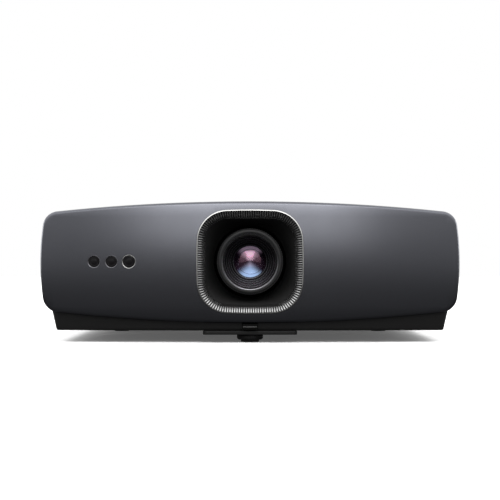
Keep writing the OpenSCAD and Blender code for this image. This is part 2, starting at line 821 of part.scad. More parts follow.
module optical_engine() color([0.25, 0.25, 0.26]) difference() {
    union() {
        block([-engine_w, engine_y0, engine_low], [engine_w, engine_y1, engine_high]);
        block([arm_x, arm_y0, arm_low], [-engine_w + 1, arm_y1, arm_high]);
        for (p = leg_places)
            translate([p.x, p.y, ground_gap + wall]) cylinder(h = engine_low - ground_gap, r = 5);
    }
    block([-engine_w + engine_wall, engine_y0 + engine_wall, engine_low + engine_wall],
        [engine_w - engine_wall, engine_y1 + cut, engine_high - engine_wall]);
    block([arm_x + engine_wall, arm_y0 + engine_wall, arm_low + engine_wall],
        [-engine_w + engine_wall + cut, arm_y1 - engine_wall, arm_high - engine_wall]);
    on_axis(engine_y0 - cut) cylinder(h = engine_wall + 2 * cut, r = 22);
    for (x = led_xs)
        translate([x, arm_y1 + cut, lens_z]) rotate([90, 0, 0]) cylinder(h = engine_wall + 2 * cut, r = 8);
    translate([arm_x - cut, (arm_y0 + arm_y1) / 2, lens_z])
        rotate([0, 90, 0]) cylinder(h = engine_wall + 2 * cut, r = 8);
}

prism_w = 32;
module prism() color([0.8, 0.85, 0.9]) {
    y = engine_y0 + 8;
    h = 28;
    translate([0, 0, lens_z - h / 2]) linear_extrude(h)
        polygon([[-prism_w / 2, y], [prism_w / 2 - 1, y], [-prism_w / 2, y + prism_w - 1]]);
    translate([0, 0, lens_z - h / 2]) linear_extrude(h)
        polygon([[prism_w / 2, y + 1], [prism_w / 2, y + prism_w], [-prism_w / 2 + 1, y + prism_w]]);
    block([-engine_w + engine_wall, y + 2, lens_z - h / 2 - 3],
        [engine_w - engine_wall, y + prism_w - 2, lens_z - h / 2]);
}

module dmd_board() color("darkgreen") {
    block([-engine_w + 1, engine_y1 + fit, engine_low + 2],
        [engine_w - 1, engine_y1 + 1.6, engine_high - 2]);
    block([-15, engine_y1 - 5, lens_z - 11], [15, engine_y1 + 0.1, lens_z + 11]);
}

module dmd_heatsink() color("lightgray") {
    y = engine_y1 + 1.7;
    block([-30, y, lens_z - 28], [30, y + 4, lens_z + 28]);
    fins([-30, y + 3, lens_z - 28], [30, y + 30, lens_z + 28], 16, 1.2);
}

module dichroic_plates() color([0.6, 0.5, 0.8, 0.6])
    for (x = led_xs)
        translate([x, (arm_y0 + arm_y1) / 2, lens_z]) rotate([0, 0, 45])
            cube([32, 1.5, 2 * (lens_z - arm_low - engine_wall) - 0.2], center = true);

module led_module() {
    brick([0, 0.8, 0], [30, 1.5, 30]);
    brick([0, -0.7, 0], [9, 1.5, 9]);
    rotate([90, 0, 0]) cylinder(h = 6, r = 6);
}

module led_modules() color("gold") {
    for (x = led_xs) translate([x, arm_y1 + fit, lens_z]) led_module();
    translate([arm_x - fit, (arm_y0 + arm_y1) / 2, lens_z]) rotate([0, 0, 90]) led_module();
}

sink_d = 24;
module led_heatsinks() color("lightgray") {
    for (x = led_xs) translate([x, arm_y1 + 1.7, lens_z]) {
        block([-15, 0, -26], [15, 4, 26]);
        fins([-15, 3, -26], [15, sink_d, 26], 9, 1.2);
    }
    translate([arm_x - 1.7, (arm_y0 + arm_y1) / 2, lens_z]) rotate([0, 0, 90]) {
        block([-20, 0, -26], [20, 4, 26]);
        fins([-20, 3, -26], [20, sink_d, 26], 12, 1.2);
    }
}

// ---------------------------------------------------------------------- fans

fan_z = lens_z;
// Half the width inside the top cover at the height of the fans' upper edges.
cover_reach = sqrt(pow(top_arc - body_wall, 2) - pow(fan_z + fan_size / 2 - case_h + top_arc, 2));
// Distance of a fan's outer face from the middle: clear of the side and of the cover's slope.
fan_inset = 20;
fan_x = min(case_w / 2 - fan_inset, cover_reach - 1);
fan_y_left = 2;
fan_y_right = 30;
duct_r = fan_size / 2 - 2;
blade_r = duct_r - 1;
hub_r = 17;

// A fan frame drawn round +Z from the origin.
module fan_frame() {
    difference() {
        translate([0, 0, fan_depth / 2]) cube([fan_size, fan_size, fan_depth], center = true);
        translate([0, 0, -cut]) cylinder(h = fan_depth + 2 * cut, r = duct_r);
        for (a = [45, 135, 225, 315])
            rotate(a) translate([fan_size / 2 * 1.26, 0, -cut]) cylinder(h = 40, r = 2);
    }
    translate([0, 0, 0.3]) tube(2.5, hub_r, 3);
    for (a = [45, 165, 285])
        rotate(a) translate([hub_r - 2, -2, 0.3]) cube([duct_r - hub_r + 3, 4, 2.4]);
}

module fan_rotor() {
    translate([0, 0, 4]) cylinder(h = fan_depth - 5, r = hub_r);
    translate([0, 0, 0.5]) cylinder(h = 4, r = 2.9);
    for (i = [0:fan_blades - 1])
        rotate(360 * i / fan_blades) intersection() {
            translate([0, 0, fan_depth / 2 + 1]) rotate([38, 0, 0])
                translate([hub_r - 2, -1, -40]) cube([60, 1.6, 80]);
            translate([0, 0, 5]) cylinder(h = fan_depth - 7, r = blade_r);
            translate([0, -fan_size / 3, 0]) cube([fan_size, fan_size / 1.5, fan_depth]);
        }
}

module at_right_fan() translate([fan_x, fan_y_right, fan_z]) rotate([0, -90, 0]) children();
module at_left_fan() translate([-fan_x, fan_y_left, fan_z]) rotate([0, 90, 0]) children();

module right_fan_frame() color([0.1, 0.1, 0.1]) at_right_fan() fan_frame();
module left_fan_frame() color([0.1, 0.1, 0.1]) at_left_fan() fan_frame();
module right_fan_rotor() color([0.15, 0.15, 0.15]) at_right_fan() fan_rotor();
module left_fan_rotor() color([0.15, 0.15, 0.15]) at_left_fan() fan_rotor();

// --------------------------------------------------------------- electronics

power_x = case_w / 2 - 150;
power_z = ground_gap + insert_len + 5;
module power_board() color("darkgreen") {
    translate([power_x, 0, power_z]) {
        block([0, -50, 0], [88, 110, 1.6]);
        block([30, -10, 1], [66, 30, 32]);
        block([6, -44, 1], [26, -20, 26]);
        block([6, -10, 1], [10, 60, 34]);
        block([74, 0, 1], [78, 60, 30]);
        for (p = [[50, -36], [20, 84], [44, 84]])
            translate([p.x, p.y, 1]) cylinder(h = 26, r = 10);
        translate([70, 84, 1]) tube(12, 12, 5);
    }
}

speaker_x = case_w / 2 - 18;
speaker_y = front_y + 85;
speaker_r = 26;
module speaker() {
    translate([0, 0, 1]) rotate_extrude() difference() {
        polygon([[0, 8], [8, 8], [speaker_r - 2, 0], [speaker_r + 2, 0], [speaker_r + 2, 2],
            [speaker_r - 1, 2], [12, 18], [12, 30], [0, 30]]);
        translate([0, -cut]) square([2, 7 + cut]);
    }
    translate([0, 0, 1]) cylinder(h = 1, r = 6);
    translate([0, 0, 1]) cylinder(h = 9, r = 3);
}

module speakers() color([0.2, 0.2, 0.2]) {
    translate([speaker_x, speaker_y, lens_z]) rotate([0, -90, 0]) speaker();
    translate([-speaker_x, speaker_y, lens_z]) rotate([0, 90, 0]) speaker();
}

// -------------------------------------------------------------------- keypad

key_top = cover_top + 0.8;
key_rest = cover_top - wall - 0.6;
flange_h = 1.2;
stem_low = key_rest - flange_h - 2;
board_top = stem_low - key_travel - 0.2;

// How far the cover's top lies below its middle at distance x.
function drop(x) = top_arc - sqrt(top_arc * top_arc - x * x);

module round_key(k) translate([k.x, keypad_y + k.y, -drop(k.x)]) {
    translate([0, 0, key_rest - flange_h]) cylinder(h = key_top - key_rest + flange_h, r = key_r);
    translate([0, 0, key_rest - flange_h]) cylinder(h = flange_h, r = key_r + 0.9);
    translate([0, 0, stem_low]) cylinder(h = flange_h + 2, r = 2);
}

module arrow_key(a) translate([0, keypad_y, 0]) {
    translate([0, 0, key_rest - flange_h]) linear_extrude(key_top - key_rest + flange_h)
        arrow_shape(a, 0);
    translate([0, 0, key_rest - flange_h]) linear_extrude(flange_h) arrow_shape(a, 0.6);
    rotate(a) translate([(arrow_r + arrow_in) / 2, 0, stem_low]) cylinder(h = flange_h + 2, r = 2);
}

module keypad_board() color("darkgreen")
    block([-key_side - 10, keypad_y - 22, board_top - 3], [key_side + 10, keypad_y + 22,
        board_top - 1.4]);

module power_key() color([0.3, 0.3, 0.3]) round_key(round_keys[0]);
module ok_key() color([0.3, 0.3, 0.3]) round_key(round_keys[1]);
module source_key() color([0.3, 0.3, 0.3]) round_key(round_keys[2]);
module back_key() color([0.3, 0.3, 0.3]) round_key(round_keys[3]);
module right_key() color([0.25, 0.25, 0.25]) arrow_key(0);
module up_key() color([0.25, 0.25, 0.25]) arrow_key(90);
module left_key() color([0.25, 0.25, 0.25]) arrow_key(180);
module down_key() color([0.25, 0.25, 0.25]) arrow_key(270);

// ---------------------------------------------------------------------- feet

disc_top = bracket_z - bearing_gap;
disc_low = disc_top - disc_h + 2 * bearing_gap;
knurls = 40;
frame_low = ground_gap + wall + 0.3;
frame_h = 2.4;
tooth_z = frame_low + frame_h / 2;
tooth_h = 0.9;
groove_pitch = 2.5;
groove_h = 1.5;
groove_in = 1.2;
button_travel = 2.5;

module foot_bracket() color([0.11, 0.11, 0.11]) difference() {
    union() {
        block([-bracket_w / 2, base_front + 4, bracket_z],
            [bracket_w / 2, foot_y + 26, ground_gap]);
        translate([0, foot_y, bracket_z]) cylinder(h = leg_len + 2, r = sleeve_r);
    }
    translate([0, foot_y, bracket_z - cut]) cylinder(h = leg_len + 5, r = leg_r + run);
    block([-5, foot_y, frame_low - 0.3], [5, foot_y + sleeve_r + cut, frame_low + frame_h + 0.3]);
}

module foot_leg() color([0.35, 0.35, 0.35]) translate([0, foot_y, 0]) difference() {
    translate([0, 0, bracket_z]) cylinder(h = leg_len, r = leg_r);
    translate([0, 0, bracket_z - cut]) cylinder(h = screw_travel + 16, r = stud_r + run);
    for (i = [0:floor(leg_travel / groove_pitch)])
        translate([0, 0, tooth_z - groove_h / 2 + i * groove_pitch])
            tube(groove_h, leg_r + cut, leg_r - groove_in);
}

// A knurled disc with a threaded stud, drawn round the foot's axis.
module screw_form(r, stud) difference() {
    union() {
        translate([0, 0, disc_low]) cylinder(h = disc_top - disc_low, r = r);
        translate([0, 0, disc_low]) cylinder(h = disc_top - disc_low + stud, r = stud_r);
    }
    translate([0, 0, disc_low - cut]) cylinder(h = cut + 3, r = 2 + run);
    for (i = [0:knurls - 1])
        rotate(360 * i / knurls) translate([r, 0, disc_low - cut])
            rotate(45) translate([-0.4, -0.4, 0]) cube([0.8, 0.8, 2 * disc_h]);
}

module pad_form(r) {
    cylinder(h = disc_low - bearing_gap, r = r);
    cylinder(h = disc_low + 2.6, r = 2);
}

module foot_screw() color([0.2, 0.2, 0.2]) translate([0, foot_y, 0])
    screw_form(front_disc_r, 14);
module foot_pad() color([0.08, 0.08, 0.08]) translate([0, foot_y, 0]) pad_form(front_disc_r - 4);

module release_button() color([0.13, 0.13, 0.13]) {
    latch_frame();
    block([-3.5, foot_y + leg_r - 0.8, tooth_z - tooth_h / 2],
        [3.5, foot_y + sleeve_r + 3, tooth_z + tooth_h / 2]);
}

// The button's face with the frame that reaches round the foot's sleeve.
module latch_frame() difference() {
    union() {
        block([-button_w / 2, base_front + 0.6, button_low], [button_w / 2, base_front + 3,
            button_high]);
        block([-button_w / 2 + 0.7, base_front - 0.4, (button_low + button_high) / 2 - 0.65],
            [button_w / 2 - 0.7, base_front + 1, (button_low + button_high) / 2 + 0.65]);
        block([-button_w / 2, base_front + 2, frame_low],
            [button_w / 2, foot_y, frame_low + frame_h]);
        block([-sleeve_r - 4, foot_y - sleeve_r - 2, frame_low],
            [sleeve_r + 4, foot_y + sleeve_r + 6, frame_low + frame_h]);
    }
    hull() for (y = [-button_travel - 0.4, 0.4])
        translate([0, foot_y + y, 0]) cylinder(h = 40, r = sleeve_r + 0.4, $fn = 32);
}

module rear_screw(i) translate([rear_feet[i].x, rear_feet[i].y, 0]) screw_form(rear_disc_r, 12);
module rear_pad(i) translate([rear_feet[i].x, rear_feet[i].y, 0]) pad_form(rear_disc_r - 3);
module rear_left_screw() color([0.2, 0.2, 0.2]) rear_screw(0);
module rear_right_screw() color([0.2, 0.2, 0.2]) rear_screw(1);
module rear_left_pad() color([0.08, 0.08, 0.08]) rear_pad(0);
module rear_right_pad() color([0.08, 0.08, 0.08]) rear_pad(1);

front_fascia();
lens_bezel();
lens_funnel();
top_cover();
base_tray();
left_grille();
right_grille();
rear_panel();
case_screws();
mount_inserts();
small_windows();
camera_window();
window_rings();
sensor_board();
lens_barrel();
zoom_ring();
focus_ring();
front_cell();
front_lens();
zoom_cell();
zoom_lens();
rear_lens();
focus_motor();
focus_pinion();
optical_engine();
prism();
dmd_board();
dmd_heatsink();
dichroic_plates();
led_modules();
led_heatsinks();
left_fan_frame();
left_fan_rotor();
right_fan_frame();
right_fan_rotor();
power_board();
main_board();
hdmi_sockets();
usb_sockets();
audio_jacks();
power_inlet();
speakers();
keypad_board();
power_key();
ok_key();
up_key();
down_key();
left_key();
right_key();
source_key();
back_key();
foot_bracket();
foot_leg();
foot_screw();
foot_pad();
release_button();
rear_left_screw();
rear_left_pad();
rear_right_screw();
rear_right_pad();
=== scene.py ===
import json
import math

import bpy
from mathutils import Matrix, Vector


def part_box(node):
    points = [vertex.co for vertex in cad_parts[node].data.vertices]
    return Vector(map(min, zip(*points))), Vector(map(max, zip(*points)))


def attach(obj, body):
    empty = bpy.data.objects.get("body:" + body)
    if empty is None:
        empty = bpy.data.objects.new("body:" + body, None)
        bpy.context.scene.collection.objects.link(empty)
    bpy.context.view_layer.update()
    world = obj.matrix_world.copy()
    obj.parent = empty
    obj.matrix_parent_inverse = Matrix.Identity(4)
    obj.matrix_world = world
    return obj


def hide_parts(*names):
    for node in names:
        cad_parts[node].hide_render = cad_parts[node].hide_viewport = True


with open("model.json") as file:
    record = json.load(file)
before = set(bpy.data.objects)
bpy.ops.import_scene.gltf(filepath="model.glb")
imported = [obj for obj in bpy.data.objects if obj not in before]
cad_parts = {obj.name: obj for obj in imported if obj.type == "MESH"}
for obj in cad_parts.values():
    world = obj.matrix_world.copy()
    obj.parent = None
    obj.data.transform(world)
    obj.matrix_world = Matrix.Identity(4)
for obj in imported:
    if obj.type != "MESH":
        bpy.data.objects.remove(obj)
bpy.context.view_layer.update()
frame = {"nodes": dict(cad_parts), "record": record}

# All lengths are in millimetres until they meet Blender, which works in metres.
MM = 0.001
LENS_Z = 81.0
FRONT = -155.0
BACK = 155.0
PANEL_LOW, PANEL_HIGH = 20.0, 141.0
PANEL_MID = (PANEL_LOW + PANEL_HIGH) / 2
RIM = FRONT + 33
FOOT_Y = FRONT + 31
LEG_HOLE_R = 8.1
THREAD_PITCH = 1.25
WINDOWS = [(-155.5, 5.4), (-138.0, 5.4), (-120.5, 5.9)]

# The error allowed between an arc and its straight steps, and the gaps that are welded shut.
ARC_ERROR = 0.02
WELD = 0.002 * MM
LOOP_WELD = 0.005 * MM


# ------------------------------------------------------------ modelling tools

def leave_edit():
    if bpy.context.mode != "OBJECT":
        bpy.ops.object.mode_set(mode="OBJECT")


def only(obj):
    """Selects one object and nothing else."""
    leave_edit()
    bpy.ops.object.select_all(action="DESELECT")
    obj.select_set(True)
    bpy.context.view_layer.objects.active = obj
    return obj


def open_mesh(obj, pick="VERT"):
    only(obj)
    bpy.ops.object.mode_set(mode="EDIT")
    bpy.ops.mesh.select_mode(type=pick)
    bpy.ops.mesh.select_all(action="SELECT")


def select_where(obj, kind, test):
    """Selects the vertices, edges or faces of obj that pass test, and leaves it in edit mode."""
    open_mesh(obj, kind)
    bpy.ops.mesh.select_all(action="DESELECT")
    bpy.ops.object.mode_set(mode="OBJECT")
    mesh = obj.data
    items = {"VERT": mesh.vertices, "EDGE": mesh.edges, "FACE": mesh.polygons}[kind]
    for item in items:
        item.select = test(item)
    bpy.ops.object.mode_set(mode="EDIT")


def settle(obj):
    """Puts the object at the origin with its place in its mesh."""
    only(obj)
    bpy.ops.object.transform_apply(location=True, rotation=True, scale=True)
    return obj


def add_modifier(obj, kind, **settings):
    """Adds a modifier and applies it."""
    only(obj)
    mod = obj.modifiers.new(kind.lower(), kind)
    for key, value in settings.items():
        setattr(mod, key, value)
    bpy.ops.object.modifier_apply(modifier=mod.name)
    return obj


def round_edges(obj, width, segments=3, angle=35):
    return add_modifier(obj, "BEVEL", width=width * MM, segments=segments, limit_method="ANGLE",
                        angle_limit=math.radians(angle), miter_outer="MITER_ARC")


def face_out(obj):
    open_mesh(obj)
    bpy.ops.mesh.remove_doubles(threshold=WELD)
    bpy.ops.mesh.normals_make_consistent(inside=False)
    leave_edit()
    return obj


def smooth(obj, angle=35):
    only(obj)
    bpy.ops.object.shade_smooth_by_angle(angle=math.radians(angle))
    return obj


def join(name, pieces):
    leave_edit()
    bpy.ops.object.select_all(action="DESELECT")
    for piece in pieces:
        piece.select_set(True)
    bpy.context.view_layer.objects.active = pieces[0]
    if len(pieces) > 1:
        bpy.ops.object.join()
    pieces[0].name = name
    pieces[0].data.name = name
    return pieces[0]


def cut_away(obj, cutter, solver="EXACT"):
    """Takes one closed shape out of another."""
    add_modifier(obj, "BOOLEAN", operation="DIFFERENCE", object=cutter, solver=solver)
    bpy.data.objects.remove(cutter)
    return obj


def point(x, y, z):
    """A new mesh of a single point, left in edit mode with that point selected."""
    leave_edit()
    bpy.ops.object.select_all(action="DESELECT")
    bpy.ops.mesh.primitive_circle_add(vertices=3, radius=0.001, location=(x * MM, y * MM, z * MM))
    obj = bpy.context.active_object
    bpy.ops.object.transform_apply(location=True)
    bpy.ops.object.mode_set(mode="EDIT")
    bpy.ops.mesh.select_mode(type="VERT")
    bpy.ops.mesh.select_all(action="SELECT")
    bpy.ops.mesh.merge(type="CENTER")
    return obj


def turned(name, profile, centre=(0, 0, LENS_Z), along="Y", steps=96):
    """A lathe-turned piece. profile is a list of (radius, distance along the axis)."""
    r0, t0 = profile[0]
    closed = min(r0, profile[-1][0]) > 0
    axis = {"X": Vector((1, 0, 0)), "Y": Vector((0, 1, 0)), "Z": Vector((0, 0, 1))}[along]
    out = Vector((0, 0, 1)) if along == "X" else Vector((1, 0, 0))
    spot = Vector(centre) + out * r0 + axis * t0
    obj = point(*spot)
    for (ra, ta), (rb, tb) in zip(profile, profile[1:]):
        step = (out * (rb - ra) + axis * (tb - ta)) * MM
        bpy.ops.mesh.extrude_region_move(TRANSFORM_OT_translate={"value": step})
    bpy.ops.mesh.select_all(action="SELECT")
    bpy.ops.mesh.remove_doubles(threshold=WELD / 2)
    if closed:
        bpy.ops.mesh.edge_face_add()
        bpy.ops.mesh.delete(type="ONLY_FACE")
        bpy.ops.mesh.select_all(action="SELECT")
    bpy.ops.mesh.spin(steps=steps, angle=2 * math.pi, center=Vector(centre) * MM, axis=axis)
    obj.name = name
    face_out(obj)
    return obj


def block(name, low, high, rounding=0.0, segments=2):
    """A box between two corners with rounded edges."""
    leave_edit()
    bpy.ops.object.select_all(action="DESELECT")
    middle = [(a + b) / 2 * MM for a, b in zip(low, high)]
    size = [(b - a) * MM for a, b in zip(low, high)]
    bpy.ops.mesh.primitive_cube_add(size=1, location=middle, scale=size)
    obj = settle(bpy.context.active_object)
    obj.name = name
    if rounding:
        round_edges(obj, rounding, segments)
    return obj


def node_box(name):
    """A node's lowest and highest corners in millimetres."""
    low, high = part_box(name)
    return Vector(low) / MM, Vector(high) / MM


def drill(name, radius, start, end, centre, along):
    """A plain rod, used to cut a round hole."""
    return turned(name, [(0, start), (radius, start), (radius, end), (0, end)], centre, along, 64)


def barrel_arcs(width, low, high, bulge, corners, middle=None):
    """The arcs [centre, radius, start, end] of a bulging rounded rectangle, in order."""
    top, bottom = Vector((0, high - bulge[0])), Vector((0, low + bulge[1]))
    side = Vector((width / 2 - bulge[2], (low + high) / 2 if middle is None else middle))

    def crossing(c1, r1, c2, r2, s):
        d = (c2 - c1).length
        u = (c2 - c1) / d
        a = (r1 * r1 - r2 * r2 + d * d) / (2 * d)
        h = math.sqrt(r1 * r1 - a * a)
        return c1 + a * u + s * h * Vector((-u.y, u.x))

    def bearing(a, b):
        return math.atan2(b.y - a.y, b.x - a.x)

    kt = crossing(top, bulge[0] - corners[0], side, bulge[2] - corners[0], -1)
    kb = crossing(bottom, bulge[1] - corners[1], side, bulge[2] - corners[1], 1)
    right = [
        (bottom, bulge[1], -math.pi / 2, bearing(bottom, kb)),
        (kb, corners[1], bearing(bottom, kb), bearing(side, kb)),
        (side, bulge[2], bearing(side, kb), bearing(side, kt)),
        (kt, corners[0], bearing(side, kt), bearing(top, kt)),
        (top, bulge[0], bearing(top, kt), math.pi / 2),
    ]
    left = [(Vector((-c.x, c.y)), r, math.pi - b, math.pi - a) for c, r, a, b in reversed(right)]
    return right + left


def outline(arcs, inset, level, plane="XZ", density=1.0):
    """A closed loop of edges: one point swung round the centre of each arc in turn."""
    def place(u, v):
        return (u, level, v) if plane == "XZ" else (u, v, level)

    axis = (0, 1, 0) if plane == "XZ" else (0, 0, -1)
    c, r, a, b = arcs[0]
    obj = point(*place(c.x + (r - inset) * math.cos(a), c.y + (r - inset) * math.sin(a)))
    for c, r, a, b in arcs:
        n = max(2, math.ceil((b - a) / (2 * math.acos(1 - ARC_ERROR / r)) * density))
        bpy.ops.mesh.spin(steps=n, angle=b - a, center=Vector(place(c.x, c.y)) * MM, axis=axis)
    bpy.ops.mesh.select_all(action="SELECT")
    bpy.ops.mesh.remove_doubles(threshold=LOOP_WELD)
    leave_edit()
    return obj


def loft(name, rings, plane="XZ", cap_first=False, cap_last=False, loop=False):
    """Joins outlines [(arcs, inset, level), ...] by bands of faces."""
    loops = [outline(arcs, inset, level, plane) for arcs, inset, level in rings]
    count = len(loops[0].data.vertices)
    obj = join(name, loops)
    pairs = [(k, k + 1) for k in range(len(rings) - 1)]
    if loop:
        pairs.append((len(rings) - 1, 0))
    for a, b in pairs:
        wanted = set(range(a * count, (a + 1) * count)) | set(range(b * count, (b + 1) * count))
        select_where(obj, "VERT", lambda v: v.index in wanted)
        bpy.ops.mesh.select_mode(type="EDGE")
        bpy.ops.object.mode_set(mode="OBJECT")
        ring = [set(range(a * count, (a + 1) * count)), set(range(b * count, (b + 1) * count))]
        for e in obj.data.edges:
            e.select = any(e.vertices[0] in s and e.vertices[1] in s for s in ring)
        bpy.ops.object.mode_set(mode="EDIT")
        bpy.ops.mesh.bridge_edge_loops()
    for k, cap in ((0, cap_first), (len(rings) - 1, cap_last)):
        if cap:
            span = range(k * count, (k + 1) * count)
            select_where(obj, "VERT", lambda v: v.index in span)
            bpy.ops.mesh.edge_face_add()
    leave_edit()
    return obj


PANEL = barrel_arcs(420, PANEL_LOW, PANEL_HIGH, (1950, 1850, 280), (16, 17))
OPENING = barrel_arcs(107, LENS_Z - 52, LENS_Z + 52, (500, 500, 500), (31, 31))


# ------------------------------------------------------------------- finishes

def node_group(name, inputs, outputs):
    group = bpy.data.node_groups.new(name, "ShaderNodeTree")
    for label, kind, value in inputs:
        socket = group.interface.new_socket(label, in_out="INPUT", socket_type=kind)
        socket.default_value = value
    for label, kind in outputs:
        group.interface.new_socket(label, in_out="OUTPUT", socket_type=kind)
    return group, group.nodes.new("NodeGroupInput"), group.nodes.new("NodeGroupOutput")


def add_node(tree, kind, links=(), **settings):
    """Adds a shader node. links is a list of (input name or number, output socket or value)."""
    made = tree.nodes.new(kind)
    for key, value in settings.items():
        setattr(made, key, value)
    for label, source in links:
        if isinstance(source, bpy.types.NodeSocket):
            tree.links.new(source, made.inputs[label])
        else:
            made.inputs[label].default_value = source
    return made


COLOUR, NUMBER = "NodeSocketColor", "NodeSocketFloat"


def build_uneven_finish():
    """Two close tones in soft patches, a fine grain, and a roughness that drifts with them."""
    tree, given, out = node_group("uneven_finish", [
        ("Tone A", COLOUR, (0.5, 0.5, 0.5, 1)), ("Tone B", COLOUR, (0.4, 0.4, 0.4, 1)),
        ("Patch Scale", NUMBER, 30.0), ("Grain Scale", NUMBER, 1500.0),
        ("Roughness", NUMBER, 0.5), ("Spread", NUMBER, 0.1),
    ], [("Color", COLOUR), ("Roughness", NUMBER), ("Grain", NUMBER)])
    place = add_node(tree, "ShaderNodeTexCoord").outputs["Object"]
    patch = add_node(tree, "ShaderNodeTexNoise", [("Vector", place), ("Scale", given.outputs["Patch Scale"]),
                                                 ("Detail", 3.0), ("Roughness", 0.6)])
    grain = add_node(tree, "ShaderNodeTexNoise", [("Vector", place), ("Scale", given.outputs["Grain Scale"]),
                                                 ("Detail", 2.0), ("Roughness", 0.5)])
    both = add_node(tree, "ShaderNodeMath", [(0, patch.outputs["Fac"]), (1, grain.outputs["Fac"])],
                    operation="ADD")
    level = add_node(tree, "ShaderNodeMapRange", [("Value", both.outputs[0]), ("From Min", 0.7),
                                                  ("From Max", 1.3)])
    tone = add_node(tree, "ShaderNodeMix", [("Factor", level.outputs[0]), (6, given.outputs["Tone A"]),
                                            (7, given.outputs["Tone B"])], data_type="RGBA")
    centred = add_node(tree, "ShaderNodeMath", [(0, level.outputs[0]), (1, 0.5)], operation="SUBTRACT")
    drift = add_node(tree, "ShaderNodeMath", [(0, centred.outputs[0]), (1, given.outputs["Spread"]),
                                              (2, given.outputs["Roughness"])], operation="MULTIPLY_ADD")
    tree.links.new(tone.outputs[2], out.inputs["Color"])
    tree.links.new(drift.outputs[0], out.inputs["Roughness"])
    tree.links.new(grain.outputs["Fac"], out.inputs["Grain"])
    return tree


def build_edge_wear():
    """A mask that is bright along worn outer edges and broken up by noise."""
    tree, given, out = node_group("edge_wear", [("Amount", NUMBER, 0.5), ("Break Up", NUMBER, 300.0)],
                                  [("Mask", NUMBER)])
    place = add_node(tree, "ShaderNodeTexCoord").outputs["Object"]
    edge = add_node(tree, "ShaderNodeNewGeometry").outputs["Pointiness"]
    band = add_node(tree, "ShaderNodeMapRange", [("Value", edge), ("From Min", 0.52), ("From Max", 0.6)])
    noise = add_node(tree, "ShaderNodeTexNoise", [("Vector", place), ("Scale", given.outputs["Break Up"]),
                                                 ("Detail", 4.0)])
    broken = add_node(tree, "ShaderNodeMath", [(0, band.outputs[0]), (1, noise.outputs["Fac"])],
                      operation="MULTIPLY")
    scaled = add_node(tree, "ShaderNodeMath", [(0, broken.outputs[0]), (1, given.outputs["Amount"])],
                      operation="MULTIPLY", use_clamp=True)
    tree.links.new(scaled.outputs[0], out.inputs["Mask"])
    return tree


def build_dust():
    """A thin film of dust on faces that look up."""
    tree, given, out = node_group("dust", [("Amount", NUMBER, 0.1)], [("Mask", NUMBER)])
    place = add_node(tree, "ShaderNodeTexCoord").outputs["Object"]
    up = add_node(tree, "ShaderNodeSeparateXYZ",
                  [("Vector", add_node(tree, "ShaderNodeNewGeometry").outputs["Normal"])])
    facing = add_node(tree, "ShaderNodeMapRange", [("Value", up.outputs["Z"]), ("From Min", 0.4),
                                                   ("From Max", 1.0)])
    noise = add_node(tree, "ShaderNodeTexNoise", [("Vector", place), ("Scale", 90.0), ("Detail", 8.0)])
    both = add_node(tree, "ShaderNodeMath", [(0, facing.outputs[0]), (1, noise.outputs["Fac"])],
                    operation="MULTIPLY")
    scaled = add_node(tree, "ShaderNodeMath", [(0, both.outputs[0]), (1, given.outputs["Amount"])],
                      operation="MULTIPLY", use_clamp=True)
    tree.links.new(scaled.outputs[0], out.inputs["Mask"])
    return tree


UNEVEN = build_uneven_finish()
WEAR = build_edge_wear()
DUST = build_dust()


def srgb(text, alpha=1.0):
    """A colour from its hex code."""
    parts = [int(text[i:i + 2], 16) / 255 for i in (0, 2, 4)]
    return tuple(p / 12.92 if p <= 0.04045 else ((p + 0.055) / 1.055) ** 2.4 for p in parts) + (alpha,)


def placed_group(tree, group, **values):
    made = tree.nodes.new("ShaderNodeGroup")
    made.node_tree = group
    for key, value in values.items():
        made.inputs[key.replace("_", " ")].default_value = value
    return made


def finish(name, tone_a, tone_b, rough=0.5, spread=0.1, patch=30.0, grain=1500.0, bump=0.1,
           depth=0.05, wear=0.0, wear_tone="808080", dust=0.0, **shader):
    """A finish with close tones, grain, worn edges and dust. shader sets Principled sockets."""
    mat = bpy.data.materials.new(name)
    mat.use_nodes = True
    tree = mat.node_tree
    base = tree.nodes["Principled BSDF"]
    body = placed_group(tree, UNEVEN, Tone_A=srgb(tone_a), Tone_B=srgb(tone_b), Patch_Scale=patch,
                        Grain_Scale=grain, Roughness=rough, Spread=spread)
    colour = body.outputs["Color"]
    if wear:
        mask = placed_group(tree, WEAR, Amount=wear).outputs["Mask"]
        colour = add_node(tree, "ShaderNodeMix", [("Factor", mask), (6, colour), (7, srgb(wear_tone))],
                          data_type="RGBA").outputs[2]
    if dust:
        mask = placed_group(tree, DUST, Amount=dust).outputs["Mask"]
        colour = add_node(tree, "ShaderNodeMix", [("Factor", mask), (6, colour), (7, srgb("8c8a86"))],
                          data_type="RGBA").outputs[2]
    tree.links.new(colour, base.inputs["Base Color"])
    tree.links.new(body.outputs["Roughness"], base.inputs["Roughness"])
    ridge = add_node(tree, "ShaderNodeBump", [("Height", body.outputs["Grain"]), ("Strength", bump),
                                              ("Distance", depth * MM)])
    tree.links.new(ridge.outputs["Normal"], base.inputs["Normal"])
    for key, value in shader.items():
        base.inputs[key.replace("_", " ")].default_value = value
    return mat


